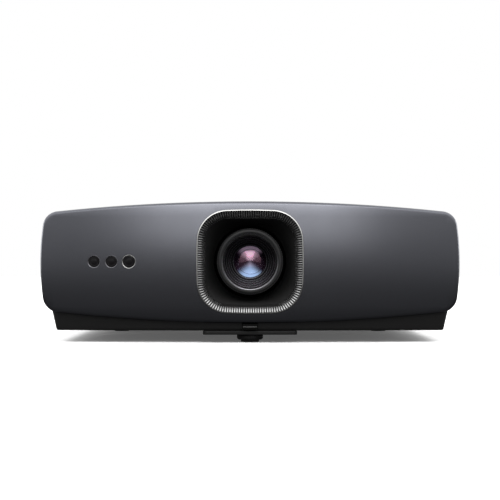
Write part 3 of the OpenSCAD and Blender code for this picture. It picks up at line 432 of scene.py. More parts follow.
F = {
    "graphite_paint": finish("graphite_paint", "5a5b60", "54555a", rough=0.23, spread=0.03, patch=12,
                             grain=4000, bump=0.08, depth=0.02, Metallic=1.0),
    "bezel_chrome": finish("bezel_chrome", "c8c8c6", "b4b4b2", rough=0.16, spread=0.08, patch=60,
                           Metallic=1.0),
    "rib_chrome": finish("rib_chrome", "acacac", "9a9a9a", rough=0.22, spread=0.1, patch=80,
                         Metallic=1.0),
    "funnel_black": finish("funnel_black", "161616", "121212", rough=0.55, spread=0.08, bump=0.2),
    "cover_plastic": finish("cover_plastic", "34343a", "323237", rough=0.5, spread=0.03, patch=20,
                            grain=2500, bump=0.25, depth=0.05, wear=0.3, wear_tone="5c5c60", dust=0.06),
    "base_plastic": finish("base_plastic", "131313", "0f0f0f", rough=0.36, spread=0.06, patch=25,
                           grain=2200, bump=0.2, depth=0.04, wear=0.2, wear_tone="343434", dust=0.03),
    "plated_steel": finish("plated_steel", "b8b8b6", "a2a2a0", rough=0.3, Metallic=1.0, wear=0.2),
    "insert_brass": finish("insert_brass", "b89350", "a58244", rough=0.35, Metallic=1.0),
    "window_glass": finish("window_glass", "0a090b", "070608", rough=0.12, spread=0.03, bump=0.02,
                           Specular_IOR_Level=0.25),
    "ring_chrome": finish("ring_chrome", "c4c4c2", "adadab", rough=0.2, Metallic=1.0),
    "circuit_board": finish("circuit_board", "1d5a33", "174a2a", rough=0.35, spread=0.15, patch=180,
                            grain=900, bump=0.3),
    "lens_black": finish("lens_black", "0b0b0b", "080808", rough=0.4, spread=0.08, Specular_IOR_Level=0.3),
    "ring_black": finish("ring_black", "0c0c0e", "09090b", rough=0.22, spread=0.05, Specular_IOR_Level=0.6),
    "zoom_rubber": finish("zoom_rubber", "101011", "0c0c0d", rough=0.5, spread=0.1, bump=0.3, dust=0.03,
                          Specular_IOR_Level=0.28),
    "trim_chrome": finish("trim_chrome", "86868a", "76767a", rough=0.25, Metallic=1.0),
    "gear_plastic": finish("gear_plastic", "0d0d0d", "0a0a0a", rough=0.5, Specular_IOR_Level=0.2),
    "motor_steel": finish("motor_steel", "a9a9a7", "979795", rough=0.3, Metallic=1.0),
    "engine_aluminium": finish("engine_aluminium", "4a4b4e", "404144", rough=0.5, Metallic=0.8, bump=0.4,
                               grain=700),
    "fin_aluminium": finish("fin_aluminium", "c6c7c9", "b4b5b8", rough=0.32, Metallic=1.0, bump=0.2),
    "led_board": finish("led_board", "e0ddd0", "cfccbf", rough=0.4),
    "black_plastic": finish("black_plastic", "1a1a1a", "141414", rough=0.5, bump=0.2),
    "speaker_plastic": finish("speaker_plastic", "262626", "1f1f1f", rough=0.6, bump=0.3),
    "ring_grey": finish("ring_grey", "3a3a3d", "323235", rough=0.3, Metallic=1.0),
    "filter_black": finish("filter_black", "0c0c0c", "070707", rough=0.95, patch=400, bump=0.6),
    "mark_white": finish("mark_white", "b0b0b0", "a4a4a4", rough=0.6),
    "key_plastic": finish("key_plastic", "3c3c40", "343438", rough=0.4, spread=0.06, wear=0.2,
                          wear_tone="6a6a6e"),
    "leg_steel": finish("leg_steel", "8a8a88", "7c7c7a", rough=0.35, Metallic=1.0),
    "disc_plastic": finish("disc_plastic", "161617", "111112", rough=0.42, bump=0.25, wear=0.3,
                           wear_tone="404040"),
    "pad_rubber": finish("pad_rubber", "121212", "0e0e0e", rough=0.8, bump=0.4),
    "button_plastic": finish("button_plastic", "202020", "1a1a1a", rough=0.4, bump=0.2),
    # Painted shade: the release button's face, darkened for the shade that falls in its pocket.
    "painted_pocket_shade": finish("painted_pocket_shade", "050505", "040404", rough=0.8, Specular_IOR_Level=0.1),
    "foot_black": finish("foot_black", "0c0c0c", "090909", rough=0.7, bump=0.2, Specular_IOR_Level=0.25),
    # Painted shade: the washer behind the throat, almost pure black for the deep shade round the lens.
    "painted_gap_shade": finish("painted_gap_shade", "020202", "010101", rough=0.95, Specular_IOR_Level=0.0),
}


def glass_finish(name, tint, rough, **shader):
    mat = bpy.data.materials.new(name)
    mat.use_nodes = True
    base = mat.node_tree.nodes["Principled BSDF"]
    body = placed_group(mat.node_tree, UNEVEN, Tone_A=srgb(tint), Tone_B=srgb(tint), Patch_Scale=40.0,
                        Grain_Scale=300.0, Roughness=rough, Spread=0.01)
    mat.node_tree.links.new(body.outputs["Color"], base.inputs["Base Color"])
    mat.node_tree.links.new(body.outputs["Roughness"], base.inputs["Roughness"])
    for key, value in shader.items():
        base.inputs[key.replace("_", " ")].default_value = value
    return mat


F["lens_glass"] = glass_finish("lens_glass", "eef2ff", 0.03, Transmission_Weight=1.0, IOR=1.52)
F["front_coating"] = glass_finish("front_coating", "f6f0ff", 0.04, Transmission_Weight=1.0, IOR=1.6,
                                  Specular_Tint=srgb("ffc4d6"), Specular_IOR_Level=1.0)


def painted_reflection_hollow():
    """The inside of the lens, with reflections painted into its colour: a painted rose highlight fan above, a
    painted pale blue highlight fan below, and dark painted reflection at the sides.
    """
    mat = finish("painted_reflection_coating", "3c4a66", "36435c", rough=0.4, spread=0.02, patch=40, grain=300, bump=0.0,
                 Metallic=1.0)
    tree = mat.node_tree
    base = tree.nodes["Principled BSDF"]
    spot = add_node(tree, "ShaderNodeSeparateXYZ",
                    [("Vector", add_node(tree, "ShaderNodeTexCoord").outputs["Object"])])
    height = add_node(tree, "ShaderNodeMath", [(0, spot.outputs["Z"]), (1, LENS_Z * MM)],
                      operation="SUBTRACT")
    up = add_node(tree, "ShaderNodeMath", [(0, height.outputs[0])], operation="ABSOLUTE")
    across = add_node(tree, "ShaderNodeMath", [(0, spot.outputs["X"])], operation="ABSOLUTE")
    painted_fan_shape = add_node(tree, "ShaderNodeMath", [(0, across.outputs[0]), (1, -0.8), (2, up.outputs[0])],
                     operation="MULTIPLY_ADD")
    painted_fan_mask = add_node(tree, "ShaderNodeMapRange", [("Value", painted_fan_shape.outputs[0]), ("From Min", -3 * MM),
                                                ("From Max", 8 * MM)], interpolation_type="SMOOTHSTEP")
    side = add_node(tree, "ShaderNodeMapRange", [("Value", height.outputs[0]), ("From Min", -6 * MM),
                                                 ("From Max", 4 * MM)])
    # Painted reflection: the colour is pale blue below the axis, rose above it, and dark at the sides outside
    # the fans.
    painted_reflection_hue = add_node(tree, "ShaderNodeMix", [("Factor", side.outputs[0]), (6, srgb("8098a6")),
                                           (7, srgb("ffe4ea"))], data_type="RGBA")
    tone = add_node(tree, "ShaderNodeMix", [("Factor", painted_fan_mask.outputs[0]), (6, srgb("20161f")),
                                            (7, painted_reflection_hue.outputs[2])], data_type="RGBA")
    tree.links.new(tone.outputs[2], base.inputs["Base Color"])
    return mat


F["painted_reflection_coating"] = painted_reflection_hollow()


def wear_it(obj, name):
    obj.data.materials.clear()
    obj.data.materials.append(F[name])
    return obj


slots = {row["node"]: row["material_slot"] for row in frame["record"]["subparts"]}
for node, obj in frame["nodes"].items():
    wear_it(obj, slots[node])
wear_it(frame["nodes"]["focus_pinion"], "gear_plastic")


def place(obj, body, slot, *replaced, look=None):
    """Ties a finished piece to its body and its slot."""
    settle(obj)
    wear_it(obj, look or slot)
    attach(obj, body)
    if replaced:
        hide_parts(*replaced)
    return obj


# ---------------------------------------------------------------- front panel

def bow(x, z):
    """How far the panel's face lies behind its foremost point."""
    return x * x / 3300 + (z - PANEL_MID) ** 2 / 1300


def make_panel():
    """A shell with a rounded front edge, its face bowed both ways, open at the back."""
    edge, edge_steps, wall = 3.2, 6, 2.8
    rings = [(PANEL, 0, RIM), (PANEL, 0, FRONT + edge)]
    for k in range(1, edge_steps + 1):
        turn = math.radians(90 * k / edge_steps)
        rings.append((PANEL, edge * (1 - math.cos(turn)), FRONT + edge * (1 - math.sin(turn))))
    panel = loft("front_panel", rings, cap_last=True)
    open_mesh(panel)
    for x in range(-196, 197, 8):
        bpy.ops.mesh.select_all(action="SELECT")
        bpy.ops.mesh.bisect(plane_co=(x * MM, 0, 0), plane_no=(1, 0, 0))
    for z in range(36, 127, 6):
        bpy.ops.mesh.select_all(action="SELECT")
        bpy.ops.mesh.bisect(plane_co=(0, 0, z * MM), plane_no=(0, 0, 1))
    leave_edit()
    for v in panel.data.vertices:
        if v.co.y < (FRONT + edge + 0.1) * MM:
            v.co.y += bow(v.co.x / MM, v.co.z / MM) * MM
    face_out(panel)
    add_modifier(panel, "SOLIDIFY", thickness=wall * MM, offset=-1.0)
    hole = loft("panel_hole", [(OPENING, 0.05, FRONT - 5), (OPENING, 0.05, RIM - 2)], cap_first=True,
                cap_last=True)
    cut_away(panel, face_out(hole))
    for x, r in WINDOWS:
        cut_away(panel, drill("window_hole", r + 0.95, FRONT - 5, FRONT + 25, (x, 0, LENS_Z), "Y"))
    smooth(panel, 40)
    return place(panel, "case", "graphite_paint", "front_fascia")


make_panel()


# ----------------------------------------------------------- bezel and funnel

LIP, BAND, BAND_DEEP = 1.3, 7.4, 7.4
RIB_PITCH, RIB_WIDE, RIB_HIGH = 2.25, 1.2, 1.3
THROAT_R = 37


def make_bezel():
    """A bright lip that slopes outwards, and the dark floor that the ribs stand on."""
    y = FRONT
    lip = loft("bezel_lip", [
        (OPENING, 0, y + 9), (OPENING, 0, y + 1.3), (OPENING, 0.12, y + 1.0), (OPENING, 1.0, y + 0.15),
        (OPENING, 1.2, y + 0.1), (OPENING, LIP, y + 0.5), (OPENING, LIP, y + 9)], loop=True)
    face_out(lip)
    smooth(lip, 35)
    place(lip, "case", "bezel_chrome", "lens_bezel")
    floor_y = y + 1.6
    band = loft("bezel_band", [
        (OPENING, LIP - 0.2, floor_y), (OPENING, LIP + BAND, floor_y + BAND_DEEP),
        (OPENING, LIP + BAND, floor_y + BAND_DEEP + 1.4), (OPENING, LIP - 0.2, floor_y + 3)], loop=True)
    face_out(band)
    smooth(band, 40)
    place(band, "case", "bezel_chrome", look="funnel_black")


def make_ribs():
    """One rib for each arc of the opening, repeated round that arc's centre."""
    made = []
    length = math.hypot(BAND, BAND_DEEP) - 0.3
    for c, r, a, b in OPENING:
        mid = r - LIP - BAND / 2
        n = max(1, round(mid * (b - a) / RIB_PITCH))
        step = (b - a) / n
        t = a + step / 2
        out, side = Vector((math.cos(t), 0, math.sin(t))), Vector((-math.sin(t), 0, math.cos(t)))
        slope = (-out * BAND + Vector((0, 1, 0)) * BAND_DEEP).normalized()
        turn = Matrix((slope, side, slope.cross(side))).transposed().to_euler()
        spot = Vector((c.x, 0, c.y)) + out * mid + Vector((0, FRONT + 1.2 + BAND_DEEP / 2, 0))
        leave_edit()
        bpy.ops.object.select_all(action="DESELECT")
        bpy.ops.mesh.primitive_cube_add(size=1, location=spot * MM, rotation=turn,
                                        scale=(length * MM, RIB_WIDE * MM, RIB_HIGH * MM))
        rib = settle(bpy.context.active_object)
        round_edges(rib, 0.3, 2)
        if n > 1:
            open_mesh(rib)
            bpy.ops.mesh.spin(steps=n - 1, angle=step * (n - 1), dupli=True,
                              center=(c.x * MM, spot.y * MM, c.y * MM), axis=(0, 1, 0))
        made.append(rib)
    ribs = join("bezel_ribs", made)
    face_out(ribs)
    smooth(ribs, 30)
    place(ribs, "case", "bezel_chrome", look="rib_chrome")


def make_funnel():
    """A smooth throat from the bezel's inner edge to a round rear."""
    start, end = FRONT + 8.6, FRONT + 43
    centre = Vector((0, LENS_Z))
    ring = []
    for c, r, a, b in OPENING:
        p = c + (r - LIP - BAND) * Vector((math.cos(a), math.sin(a))) - centre
        q = c + (r - LIP - BAND) * Vector((math.cos(b), math.sin(b))) - centre
        ta, tb = math.atan2(p.y, p.x), math.atan2(q.y, q.x)
        while tb < ta:
            tb += 2 * math.pi
        ring.append((ta, tb, max(2, math.ceil((b - a) / (2 * math.acos(1 - ARC_ERROR / r))))))
    mouth = outline(OPENING, LIP + BAND, start)
    ta = ring[0][0]
    rear = point(THROAT_R * math.cos(ta), end, LENS_Z + THROAT_R * math.sin(ta))
    for ta, tb, n in ring:
        bpy.ops.mesh.spin(steps=n, angle=tb - ta, center=(0, end * MM, LENS_Z * MM), axis=(0, 1, 0))
    bpy.ops.mesh.select_all(action="SELECT")
    bpy.ops.mesh.remove_doubles(threshold=LOOP_WELD)
    leave_edit()
    funnel = join("lens_funnel_skin", [mouth, rear])
    open_mesh(funnel, "EDGE")
    bpy.ops.mesh.bridge_edge_loops(number_cuts=8, interpolation="LINEAR")
    face_out(funnel)
    add_modifier(funnel, "SOLIDIFY", thickness=1.6 * MM, offset=1.0)
    smooth(funnel, 60)
    place(funnel, "case", "funnel_black", "lens_funnel")


def make_baffle():
    """A black washer behind the throat that hides the focus gear. Its finish is painted almost pure black
    with no sheen, for the deep shade in the gap round the lens.
    """
    y = FRONT + 43
    baffle = turned("funnel_baffle", [(THROAT_R - 3.1, y), (THROAT_R + 1.5, y), (THROAT_R + 1.5, y + 0.8),
                                      (THROAT_R - 3.1, y + 0.8)], steps=96)
    place(smooth(baffle, 30), "case", "funnel_black", look="painted_gap_shade")


make_bezel()
make_ribs()
make_funnel()
make_baffle()


# --------------------------------------------------------------------- lens

LENS_FRONT = FRONT + 12
BARREL_FRONT = LENS_FRONT + 4.5
CELL_Y = BARREL_FRONT + 0.5
LENS_STEPS = 128


def make_zoom_ring():
    """A rounded rubber ring with ribs round its shoulder, and a thin bright ring inside it."""
    y = LENS_FRONT
    radius, count, long, high = 32.6, 84, 24.5, 1.3
    ring = turned("zoom_ring_body", [
        (28.9, y + 4.2), (28.8, y + 0.5), (29.0, y + 0.1), (29.6, y), (30.9, y), (31.7, y + 0.3),
        (32.3, y + 1.0), (radius, y + 2.0), (radius, y + 26), (30.1, y + 26), (30.1, y + 4.2)],
        steps=LENS_STEPS)
    smooth(ring, 40)
    leave_edit()
    bpy.ops.object.select_all(action="DESELECT")
    spot = Vector((radius, y + 0.9 + long / 2, LENS_Z))
    bpy.ops.mesh.primitive_cube_add(size=1, location=spot * MM, scale=(high * MM, long * MM, high * MM))
    rib = settle(bpy.context.active_object)
    round_edges(rib, 0.3, 2)
    open_mesh(rib)
    bpy.ops.mesh.spin(steps=count - 1, angle=2 * math.pi * (count - 1) / count, dupli=True,
                      center=(0, spot.y * MM, LENS_Z * MM), axis=(0, 1, 0))
    leave_edit()
    smooth(rib, 30)
    place(join("zoom_grip", [ring, rib]), "zoom_ring", "zoom_rubber", "zoom_ring")
    trim = turned("zoom_trim", [(27.8, y + 1.6), (27.8, y + 0.3), (28.25, y + 0.12), (28.25, y + 1.6)],
                  steps=LENS_STEPS)
    smooth(trim, 30)
    place(trim, "zoom_ring", "zoom_rubber", look="trim_chrome")


def make_cell():
    """The focusing cell: a cone of fine light-trapping steps down to the front glass."""
    y = CELL_Y
    count, outer, inner, deep = 9, 26.6, 17.6, 12.2
    profile = [(27.2, y + 29), (27.2, y + 0.4), (26.9, y), (outer, y)]
    r, t = outer, y
    for k in range(count):
        r -= (outer - inner) / count
        t += deep / count
        profile += [(r + 0.22, t), (r, t - 0.3)]
    profile += [(17.3, t), (17.05, t + 0.4), (17.05, t + 1.0), (18.05, y + 14), (18.05, y + 29)]
    cell = turned("focus_cell_rings", profile, steps=LENS_STEPS)
    smooth(cell, 25)
    place(cell, "focus_group", "lens_black", "front_cell", look="ring_black")
    rings = []
    for r in (25.6, 23.6, 21.4, 19.4):
        t = y + (outer - r) / (outer - inner) * deep
        ring = turned("trap_ring", [(r - 0.25, t + 0.9), (r - 0.25, t - 0.44), (r + 0.2, t - 0.6),
                                    (r + 0.2, t + 0.9)], steps=LENS_STEPS)
        rings.append(smooth(ring, 30))
    rim = turned("glass_rim", [(16.7, y + deep + 0.4), (16.7, y + deep - 0.85), (17.4, y + deep - 1.1),
                               (17.4, y + deep + 0.4)], steps=LENS_STEPS)
    rings.append(smooth(rim, 30))
    place(join("cell_edges", rings), "focus_group", "lens_black", look="ring_grey")


def cap(radius, curve, at, steps=12, sign=1):
    """Points of a round surface, from the axis out to its radius."""
    return [(radius * k / steps, at + sign * (curve - math.sqrt(curve ** 2 - (radius * k / steps) ** 2)))
            for k in range(steps + 1)]


def make_glasses():
    """A curved front glass, a black ring behind it, and the hollow of the next glass, whose colour holds
    painted reflections.
    """
    y = CELL_Y + 10.4
    front = cap(16.9, 31, y) + cap(16.9, 29, y + 2.4)[::-1]
    place(smooth(turned("front_glass", front, steps=LENS_STEPS), 30), "focus_group", "lens_glass",
          "front_lens", look="front_coating")
    y += 6.4
    stop = turned("glass_ring", [(17.9, y + 3), (17.9, y - 0.2), (17.3, y - 0.8), (16.4, y - 0.6),
                                 (15.6, y + 0.6), (15.3, y + 1.3), (15.3, y + 3)], steps=LENS_STEPS)
    place(smooth(stop, 25), "focus_group", "lens_black", look="ring_black")
    hollow = cap(16.2, 60, y + 3.6, sign=-1) + [(16.2, y + 6), (0, y + 6)]
    # The second glass wears painted reflections: a rose fan above and a pale blue fan below.
    place(smooth(turned("second_glass", hollow, steps=LENS_STEPS), 30), "focus_group", "lens_glass",
          look="painted_reflection_coating")
    inner = turned("inner_ring", [(12.6, y + 3.2), (12.6, y + 2.1), (12.4, y + 1.9), (12.2, y + 2.1),
                                  (12.2, y + 3.2)], (0.5, 0, LENS_Z), steps=LENS_STEPS)
    place(smooth(inner, 50), "focus_group", "lens_black", look="trim_chrome")


make_zoom_ring()
make_cell()
make_glasses()


# ----------------------------------------------------------- sensor windows

def make_windows():
    """Countersunk rims, each round a dark glass with a fainter lens behind its surface."""
    for k, (x, r) in enumerate(WINDOWS):
        tilt = math.asin(x / 1650)
        y = FRONT + bow(x, LENS_Z)
        spot = (x, 0, LENS_Z)
        rim = turned(f"window_rim_{k}", [
            (r + 0.9, y + 3.2), (r + 0.9, y + 0.1), (r + 0.75, y - 0.02), (r + 0.6, y + 0.05),
            (r, y + 0.85), (r, y + 3.2)], spot, steps=64)
        pane = turned(f"window_pane_{k}", [
            (0, y + 0.95), (r * 0.42, y + 1.0), (r * 0.46, y + 1.12), (r * 0.72, y + 1.16),
            (r * 0.76, y + 1.02), (r - 0.05, y + 1.08), (r - 0.05, y + 2.6), (0, y + 2.6)],
            spot, steps=64)
        for piece, angle in ((rim, 50), (pane, 25)):
            smooth(piece, angle)
            only(piece)
            bpy.ops.transform.rotate(value=-tilt, orient_axis="Z",
                                     center_override=(x * MM, y * MM, LENS_Z * MM))
        place(rim, "case", "ring_chrome", *(["window_rings"] if k == 0 else []),
              look="ring_chrome" if k == 2 else "trim_chrome")
        place(pane, "case", "window_glass", *([["small_windows"], [], ["camera_window"]][k]))


make_windows()


# --------------------------------------------------------------------- base

BASE = barrel_arcs(403.6, FRONT + 4, BACK, (40000, 1600, 40000), (10, 10), middle=0)


def make_base():
    """A low tray with drawn-in sides and a rounded lower edge, open at the top."""
    def draw_in(z):
        return 6.8 * (42 - z) / 30

    base = loft("base_shell", [
        (BASE, draw_in(38), 38), (BASE, draw_in(28), 28), (BASE, draw_in(15), 15),
        (BASE, draw_in(13.4), 13.4), (BASE, draw_in(12) + 0.5, 12.4), (BASE, draw_in(12) + 1.6, 12)],
        plane="XY", cap_last=True)
    face_out(base)
    add_modifier(base, "SOLIDIFY", thickness=2.3 * MM, offset=-1.0)
    smooth(base, 30)
    return base


def finish_base():
    """Cuts the button's pocket and the leg's hole."""
    base = make_base()
    cut_away(base, block("pocket", (-7.9, FRONT, 12.8), (7.9, FOOT_Y - 11, 19.6)), "MANIFOLD")
    cut_away(base, drill("leg_hole", LEG_HOLE_R + 0.5, 0, 40, (0, FOOT_Y, 0), "Z"), "MANIFOLD")
    place(smooth(base, 30), "case", "base_plastic", "base_tray")


finish_base()


# ------------------------------------------------------------ grille filters

def make_filters():
    """A dark dust mat behind each side grille, so that no light shows through the case."""
    gap, thick, margin = 0.3, 1.0, 3
    for side, node in ((-1, "left_grille"), (1, "right_grille")):
        low, high = node_box(node)
        inner = max(low.x, -high.x) if side > 0 else min(high.x, -low.x)
        x = sorted((inner - side * gap, inner - side * (gap + thick)))
        mat = block(f"filter_{node}", (x[0], low.y + margin, low.z + margin),
                    (x[1], high.y - margin, high.z - margin), 0.2)
        place(smooth(mat, 30), "case", "black_plastic", look="filter_black")


make_filters()


# --------------------------------------------------------------------- keys

KEY_DISH = 0.42


def round_key(name):
    """A round key with a rolled edge, a dished top and a foot that keeps it in the cover."""
    low, high = node_box(name)
    spot = ((low.x + high.x) / 2, (low.y + high.y) / 2, 0)
    flange = 0.9
    r, top = (high.x - low.x) / 2 - flange, high.z
    edge = [(r, top - 0.7), (r - 0.12, top - 0.3), (r - 0.4, top - 0.06), (r - 0.8, top),
            (r - 1.3, top - 0.08)]
    dish = [(r * 0.5, top - 0.32), (r * 0.2, top - 0.4), (0, top - KEY_DISH)]
    foot = [(0, low.z), (2, low.z), (2, low.z + 2), (r + flange, low.z + 2), (r + flange, low.z + 3.2),
            (r, low.z + 3.2)]
    return smooth(turned(name + "_top", foot + edge + dish, spot, "Z", 72), 30), spot, top


def mark_ring(name, spot, level, radius):
    """A printed ring, the sign for power, with its stroke."""
    half, thick = 0.22, 0.1
    ring = turned(name, [(radius - half, level), (radius - half, level + thick),
                         (radius + half, level + thick), (radius + half, level)], spot, "Z", 48)
    cut_away(ring, block("gap", (spot[0] - 0.8, spot[1], level - 1), (spot[0] + 0.8, spot[1] + 9, level + 1)))
    stroke = block("stroke", (spot[0] - 0.2, spot[1] + 0.3, level),
                   (spot[0] + 0.2, spot[1] + 2.6, level + thick))
    return join(name, [ring, stroke])


def make_keys():
    """Four round keys, and a small arrow printed on each of the four ring keys."""
    for node in ("power_key", "ok_key", "source_key", "back_key"):
        key, spot, top = round_key(node)
        place(key, node, "key_plastic", node)
        if node == "power_key":
            place(mark_ring("power_mark", spot, top - KEY_DISH, 1.9), node, "key_plastic", look="mark_white")
    for node in ("up_key", "down_key", "left_key", "right_key"):
        low, high = node_box(node)
        spot = (low + high) / 2
        leave_edit()
        bpy.ops.object.select_all(action="DESELECT")
        turn = {"right_key": 0, "up_key": 90, "left_key": 180, "down_key": 270}[node]
        bpy.ops.mesh.primitive_cylinder_add(vertices=3, radius=1.3 * MM, depth=0.12 * MM,
                                            location=(spot.x * MM, spot.y * MM, (high.z + 0.02) * MM),
                                            rotation=(0, 0, math.radians(turn - 90)))
        mark = bpy.context.active_object
        mark.name = node + "_mark"
        place(mark, node, "key_plastic", look="mark_white")


make_keys()


# --------------------------------------------------------------------- feet

def make_bracket():
    """The plate that carries the front foot, with rounded corners, and its sleeve."""
    low, high = node_box("foot_bracket")
    plate = block("plate", (low.x, low.y, low.z), (high.x, high.y, 12.0))
    select_where(plate, "EDGE", lambda e: abs(plate.data.vertices[e.vertices[0]].co.z
                                              - plate.data.vertices[e.vertices[1]].co.z) > 0.001)
    bpy.ops.mesh.bevel(offset=4 * MM, segments=6, affect="EDGES")
    leave_edit()
    round_edges(plate, 0.5, 2)
    cut_away(plate, drill("leg_hole", LEG_HOLE_R, -5, 40, (0, FOOT_Y, 0), "Z"))
    sleeve = turned("sleeve", [(LEG_HOLE_R, 11.8), (LEG_HOLE_R, high.z), (9.9, high.z), (9.9, 11.8)],
                    (0, FOOT_Y, 0), "Z", 64)
    place(smooth(join("foot_plate", [plate, sleeve]), 30), "case", "base_plastic", "foot_bracket",
          look="foot_black")


def make_button():
    """The release button: a rounded face with a finger ridge across it. The face is painted near black for
    the shade in its pocket, and the ridge keeps the button's own plastic.
    """
    face = block("face", (-7.5, -150.4, 13.2), (7.5, -144, 18.6), 0.5)
    ridge = block("ridge", (-7.0, -151.3, 15.25), (7.0, -149, 16.55), 0.4)
    # The face wears painted shade, and the ridge wears the button's plastic.
    place(smooth(face, 30), "release_button", "button_plastic", "release_button", look="painted_pocket_shade")
    place(smooth(ridge, 30), "release_button", "button_plastic")


def knurled_disc(name, node, body, slot, ribs=44):
    """A levelling disc: a chamfered wheel with ribs round its rim and a threaded stud."""
    low, high = node_box(node)
    spot = ((low.x + high.x) / 2, (low.y + high.y) / 2, 0)
    r = (high.x - low.x) / 2
    top = low.z + 5.5
    wheel = turned("wheel", [(0, low.z), (r - 1.5, low.z), (r - 0.9, low.z + 0.5), (r - 0.7, low.z + 0.9),
                             (r - 0.7, top - 1.0), (r - 1.2, top - 0.4), (r - 2.2, top), (5.5, top),
                             (5.2, top + 0.1), (0, top + 0.1)], spot, "Z", 96)
    pieces = [smooth(wheel, 35)]
    thread = [(0, top - 0.5), (3.1, top - 0.5)]
    t, pitch = top + 0.3, THREAD_PITCH
    while t + pitch < high.z - 0.8:
        thread += [(2.9, t), (3.45, t + pitch * 0.4), (3.45, t + pitch * 0.6), (2.9, t + pitch)]
        t += pitch
    thread += [(2.9, high.z - 0.6), (2.4, high.z), (0, high.z)]
    pieces.append(smooth(turned("stud", thread, spot, "Z", 40), 20))
    rib = block("rib", (spot[0] + r - 1.1, spot[1] - 0.5, low.z + 1.0),
                (spot[0] + r, spot[1] + 0.5, top - 0.8), 0.25)
    open_mesh(rib)
    bpy.ops.mesh.spin(steps=ribs - 1, angle=2 * math.pi * (ribs - 1) / ribs, dupli=True,
                      center=Vector(spot) * MM, axis=(0, 0, 1))
    leave_edit()
    pieces.append(smooth(rib, 30))
    place(join(name, pieces), body, slot, node)


def rubber_pad(name, node, body):
    """A pad with a rounded tread and a shallow ring moulded in its face."""
    low, high = node_box(node)
    spot = ((low.x + high.x) / 2, (low.y + high.y) / 2, 0)
    r = (high.x - low.x) / 2
    pad = turned(name, [(0, high.z), (r - 0.6, high.z), (r - 0.1, high.z - 0.4), (r, 0.9), (r - 0.3, 0.3),
                        (r - 1.0, 0), (r * 0.6, 0), (r * 0.56, 0.35), (r * 0.44, 0.35), (r * 0.4, 0), (0, 0)],
                 spot, "Z", 72)
    place(smooth(pad, 30), body, "pad_rubber", node)


make_bracket()
make_button()
for name, node, body in (("front_foot_disc", "foot_screw", "front_disc"),
                         ("left_foot_disc", "rear_left_screw", "rear_left_disc"),
                         ("right_foot_disc", "rear_right_screw", "rear_right_disc")):
    knurled_disc(name, node, body, "disc_plastic")
for name, node, body in (("front_foot_pad", "foot_pad", "front_pad"),
                         ("left_foot_pad", "rear_left_pad", "rear_left_pad"),
                         ("right_foot_pad", "rear_right_pad", "rear_right_pad")):
    rubber_pad(name, node, body)


# ------------------------------------------------------- stage, light, camera

def make_stage():
    """A pale table, lit a little from below. It throws less light back than the camera sees."""
    leave_edit()
    bpy.ops.object.select_all(action="DESELECT")
    bpy.ops.mesh.primitive_plane_add(size=12, location=(0, 0, 0))
    floor = settle(bpy.context.active_object)
    floor.name = "floor"
    mat = bpy.data.materials.new("floor")
    mat.use_nodes = True
    tree = mat.node_tree
    base = tree.nodes["Principled BSDF"]
    seen = add_node(tree, "ShaderNodeLightPath").outputs["Is Camera Ray"]
    tone = add_node(tree, "ShaderNodeMix", [("Factor", seen), (6, (0.04, 0.04, 0.04, 1)),
                                            (7, (0.94, 0.94, 0.94, 1))], data_type="RGBA")
    tree.links.new(tone.outputs[2], base.inputs["Base Color"])
    base.inputs["Roughness"].default_value = 0.7
    base.inputs["Specular IOR Level"].default_value = 0.0
    spot = add_node(tree, "ShaderNodeSeparateXYZ",
                    [("Vector", add_node(tree, "ShaderNodeTexCoord").outputs["Object"])])
    away = add_node(tree, "ShaderNodeMath", [(0, spot.outputs["X"])], operation="ABSOLUTE")
    outer = add_node(tree, "ShaderNodeMapRange", [("Value", away.outputs[0]), ("From Min", 0.4),
                                                  ("From Max", 1.1), ("To Min", 0.04), ("To Max", 0.32)],
                     interpolation_type="SMOOTHSTEP")
    glow = add_node(tree, "ShaderNodeMix", [(0, seen), (2, outer.outputs[0]), (3, 0.1)], data_type="FLOAT")
    base.inputs["Emission Color"].default_value = (1, 1, 1, 1)
    tree.links.new(glow.outputs[0], base.inputs["Emission Strength"])
    floor.data.materials.append(mat)


def soft_box(name, spot, target, size, power, colour=(1, 1, 1)):
    leave_edit()
    bpy.ops.object.light_add(type="AREA", location=spot)
    lamp = bpy.context.active_object
    lamp.name = name
    lamp.data.shape = "RECTANGLE"
    lamp.data.size, lamp.data.size_y = size
    lamp.data.energy = power
    lamp.data.color = colour
    lamp.rotation_euler = (Vector(target) - Vector(spot)).to_track_quat("-Z", "Y").to_euler()
    return lamp


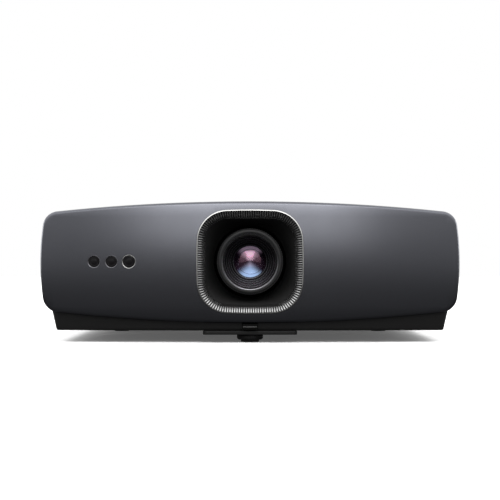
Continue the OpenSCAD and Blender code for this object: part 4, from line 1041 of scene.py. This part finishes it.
def make_light():
    """A white surround that is bright overhead and dim near the ground, and a soft box."""
    world = bpy.data.worlds.new("studio")
    bpy.context.scene.world = world
    world.use_nodes = True
    tree = world.node_tree
    sky = tree.nodes["Background"]
    seen = add_node(tree, "ShaderNodeLightPath").outputs["Is Camera Ray"]
    way = add_node(tree, "ShaderNodeSeparateXYZ",
                   [("Vector", add_node(tree, "ShaderNodeTexCoord").outputs["Generated"])])
    rise = add_node(tree, "ShaderNodeMapRange", [("Value", way.outputs["Z"]), ("From Min", 0.0),
                                                 ("From Max", 0.8), ("To Min", 0.15), ("To Max", 1.9)],
                    interpolation_type="SMOOTHSTEP")
    across = add_node(tree, "ShaderNodeMath", [(0, way.outputs["X"])], operation="ABSOLUTE")
    sides = add_node(tree, "ShaderNodeMapRange", [("Value", across.outputs[0]), ("From Min", 0.1),
                                                  ("From Max", 0.35), ("To Min", 0.0), ("To Max", 0.5)],
                     interpolation_type="SMOOTHSTEP")
    both = add_node(tree, "ShaderNodeMath", [(0, rise.outputs[0]), (1, sides.outputs[0])], operation="ADD")
    level = add_node(tree, "ShaderNodeMix", [(0, seen), (2, both.outputs[0]), (3, 1.0)], data_type="FLOAT")
    sky.inputs["Color"].default_value = (1, 1, 1, 1)
    tree.links.new(level.outputs[0], sky.inputs["Strength"])
    soft_box("tall_front", (0, -2.7, 1.02), (0, FRONT * MM, 0.4), (1.4, 1.5), 18)
    soft_box("ceiling", (0, -2.1, 1.15), (0, -2.1, 0), (1.1, 2.4), 22)
    for side in (-1, 1):
        soft_box(f"side_{side}", (side * 1.2, 0.3, 0.3), (0, 0, 0.08), (0.7, 0.5), 4)


def make_camera():
    distance = 1.5
    bpy.ops.object.camera_add(location=(0, FRONT * MM - distance, 0.0815), rotation=(math.pi / 2, 0, 0))
    camera = bpy.context.active_object
    camera.data.sensor_width = 36
    camera.data.lens = 109.0
    camera.data.shift_y = 0.0222
    camera.data.clip_start = 0.05
    bpy.context.scene.camera = camera


make_stage()
make_light()
make_camera()
bpy.context.scene.view_settings.view_transform = "Standard"
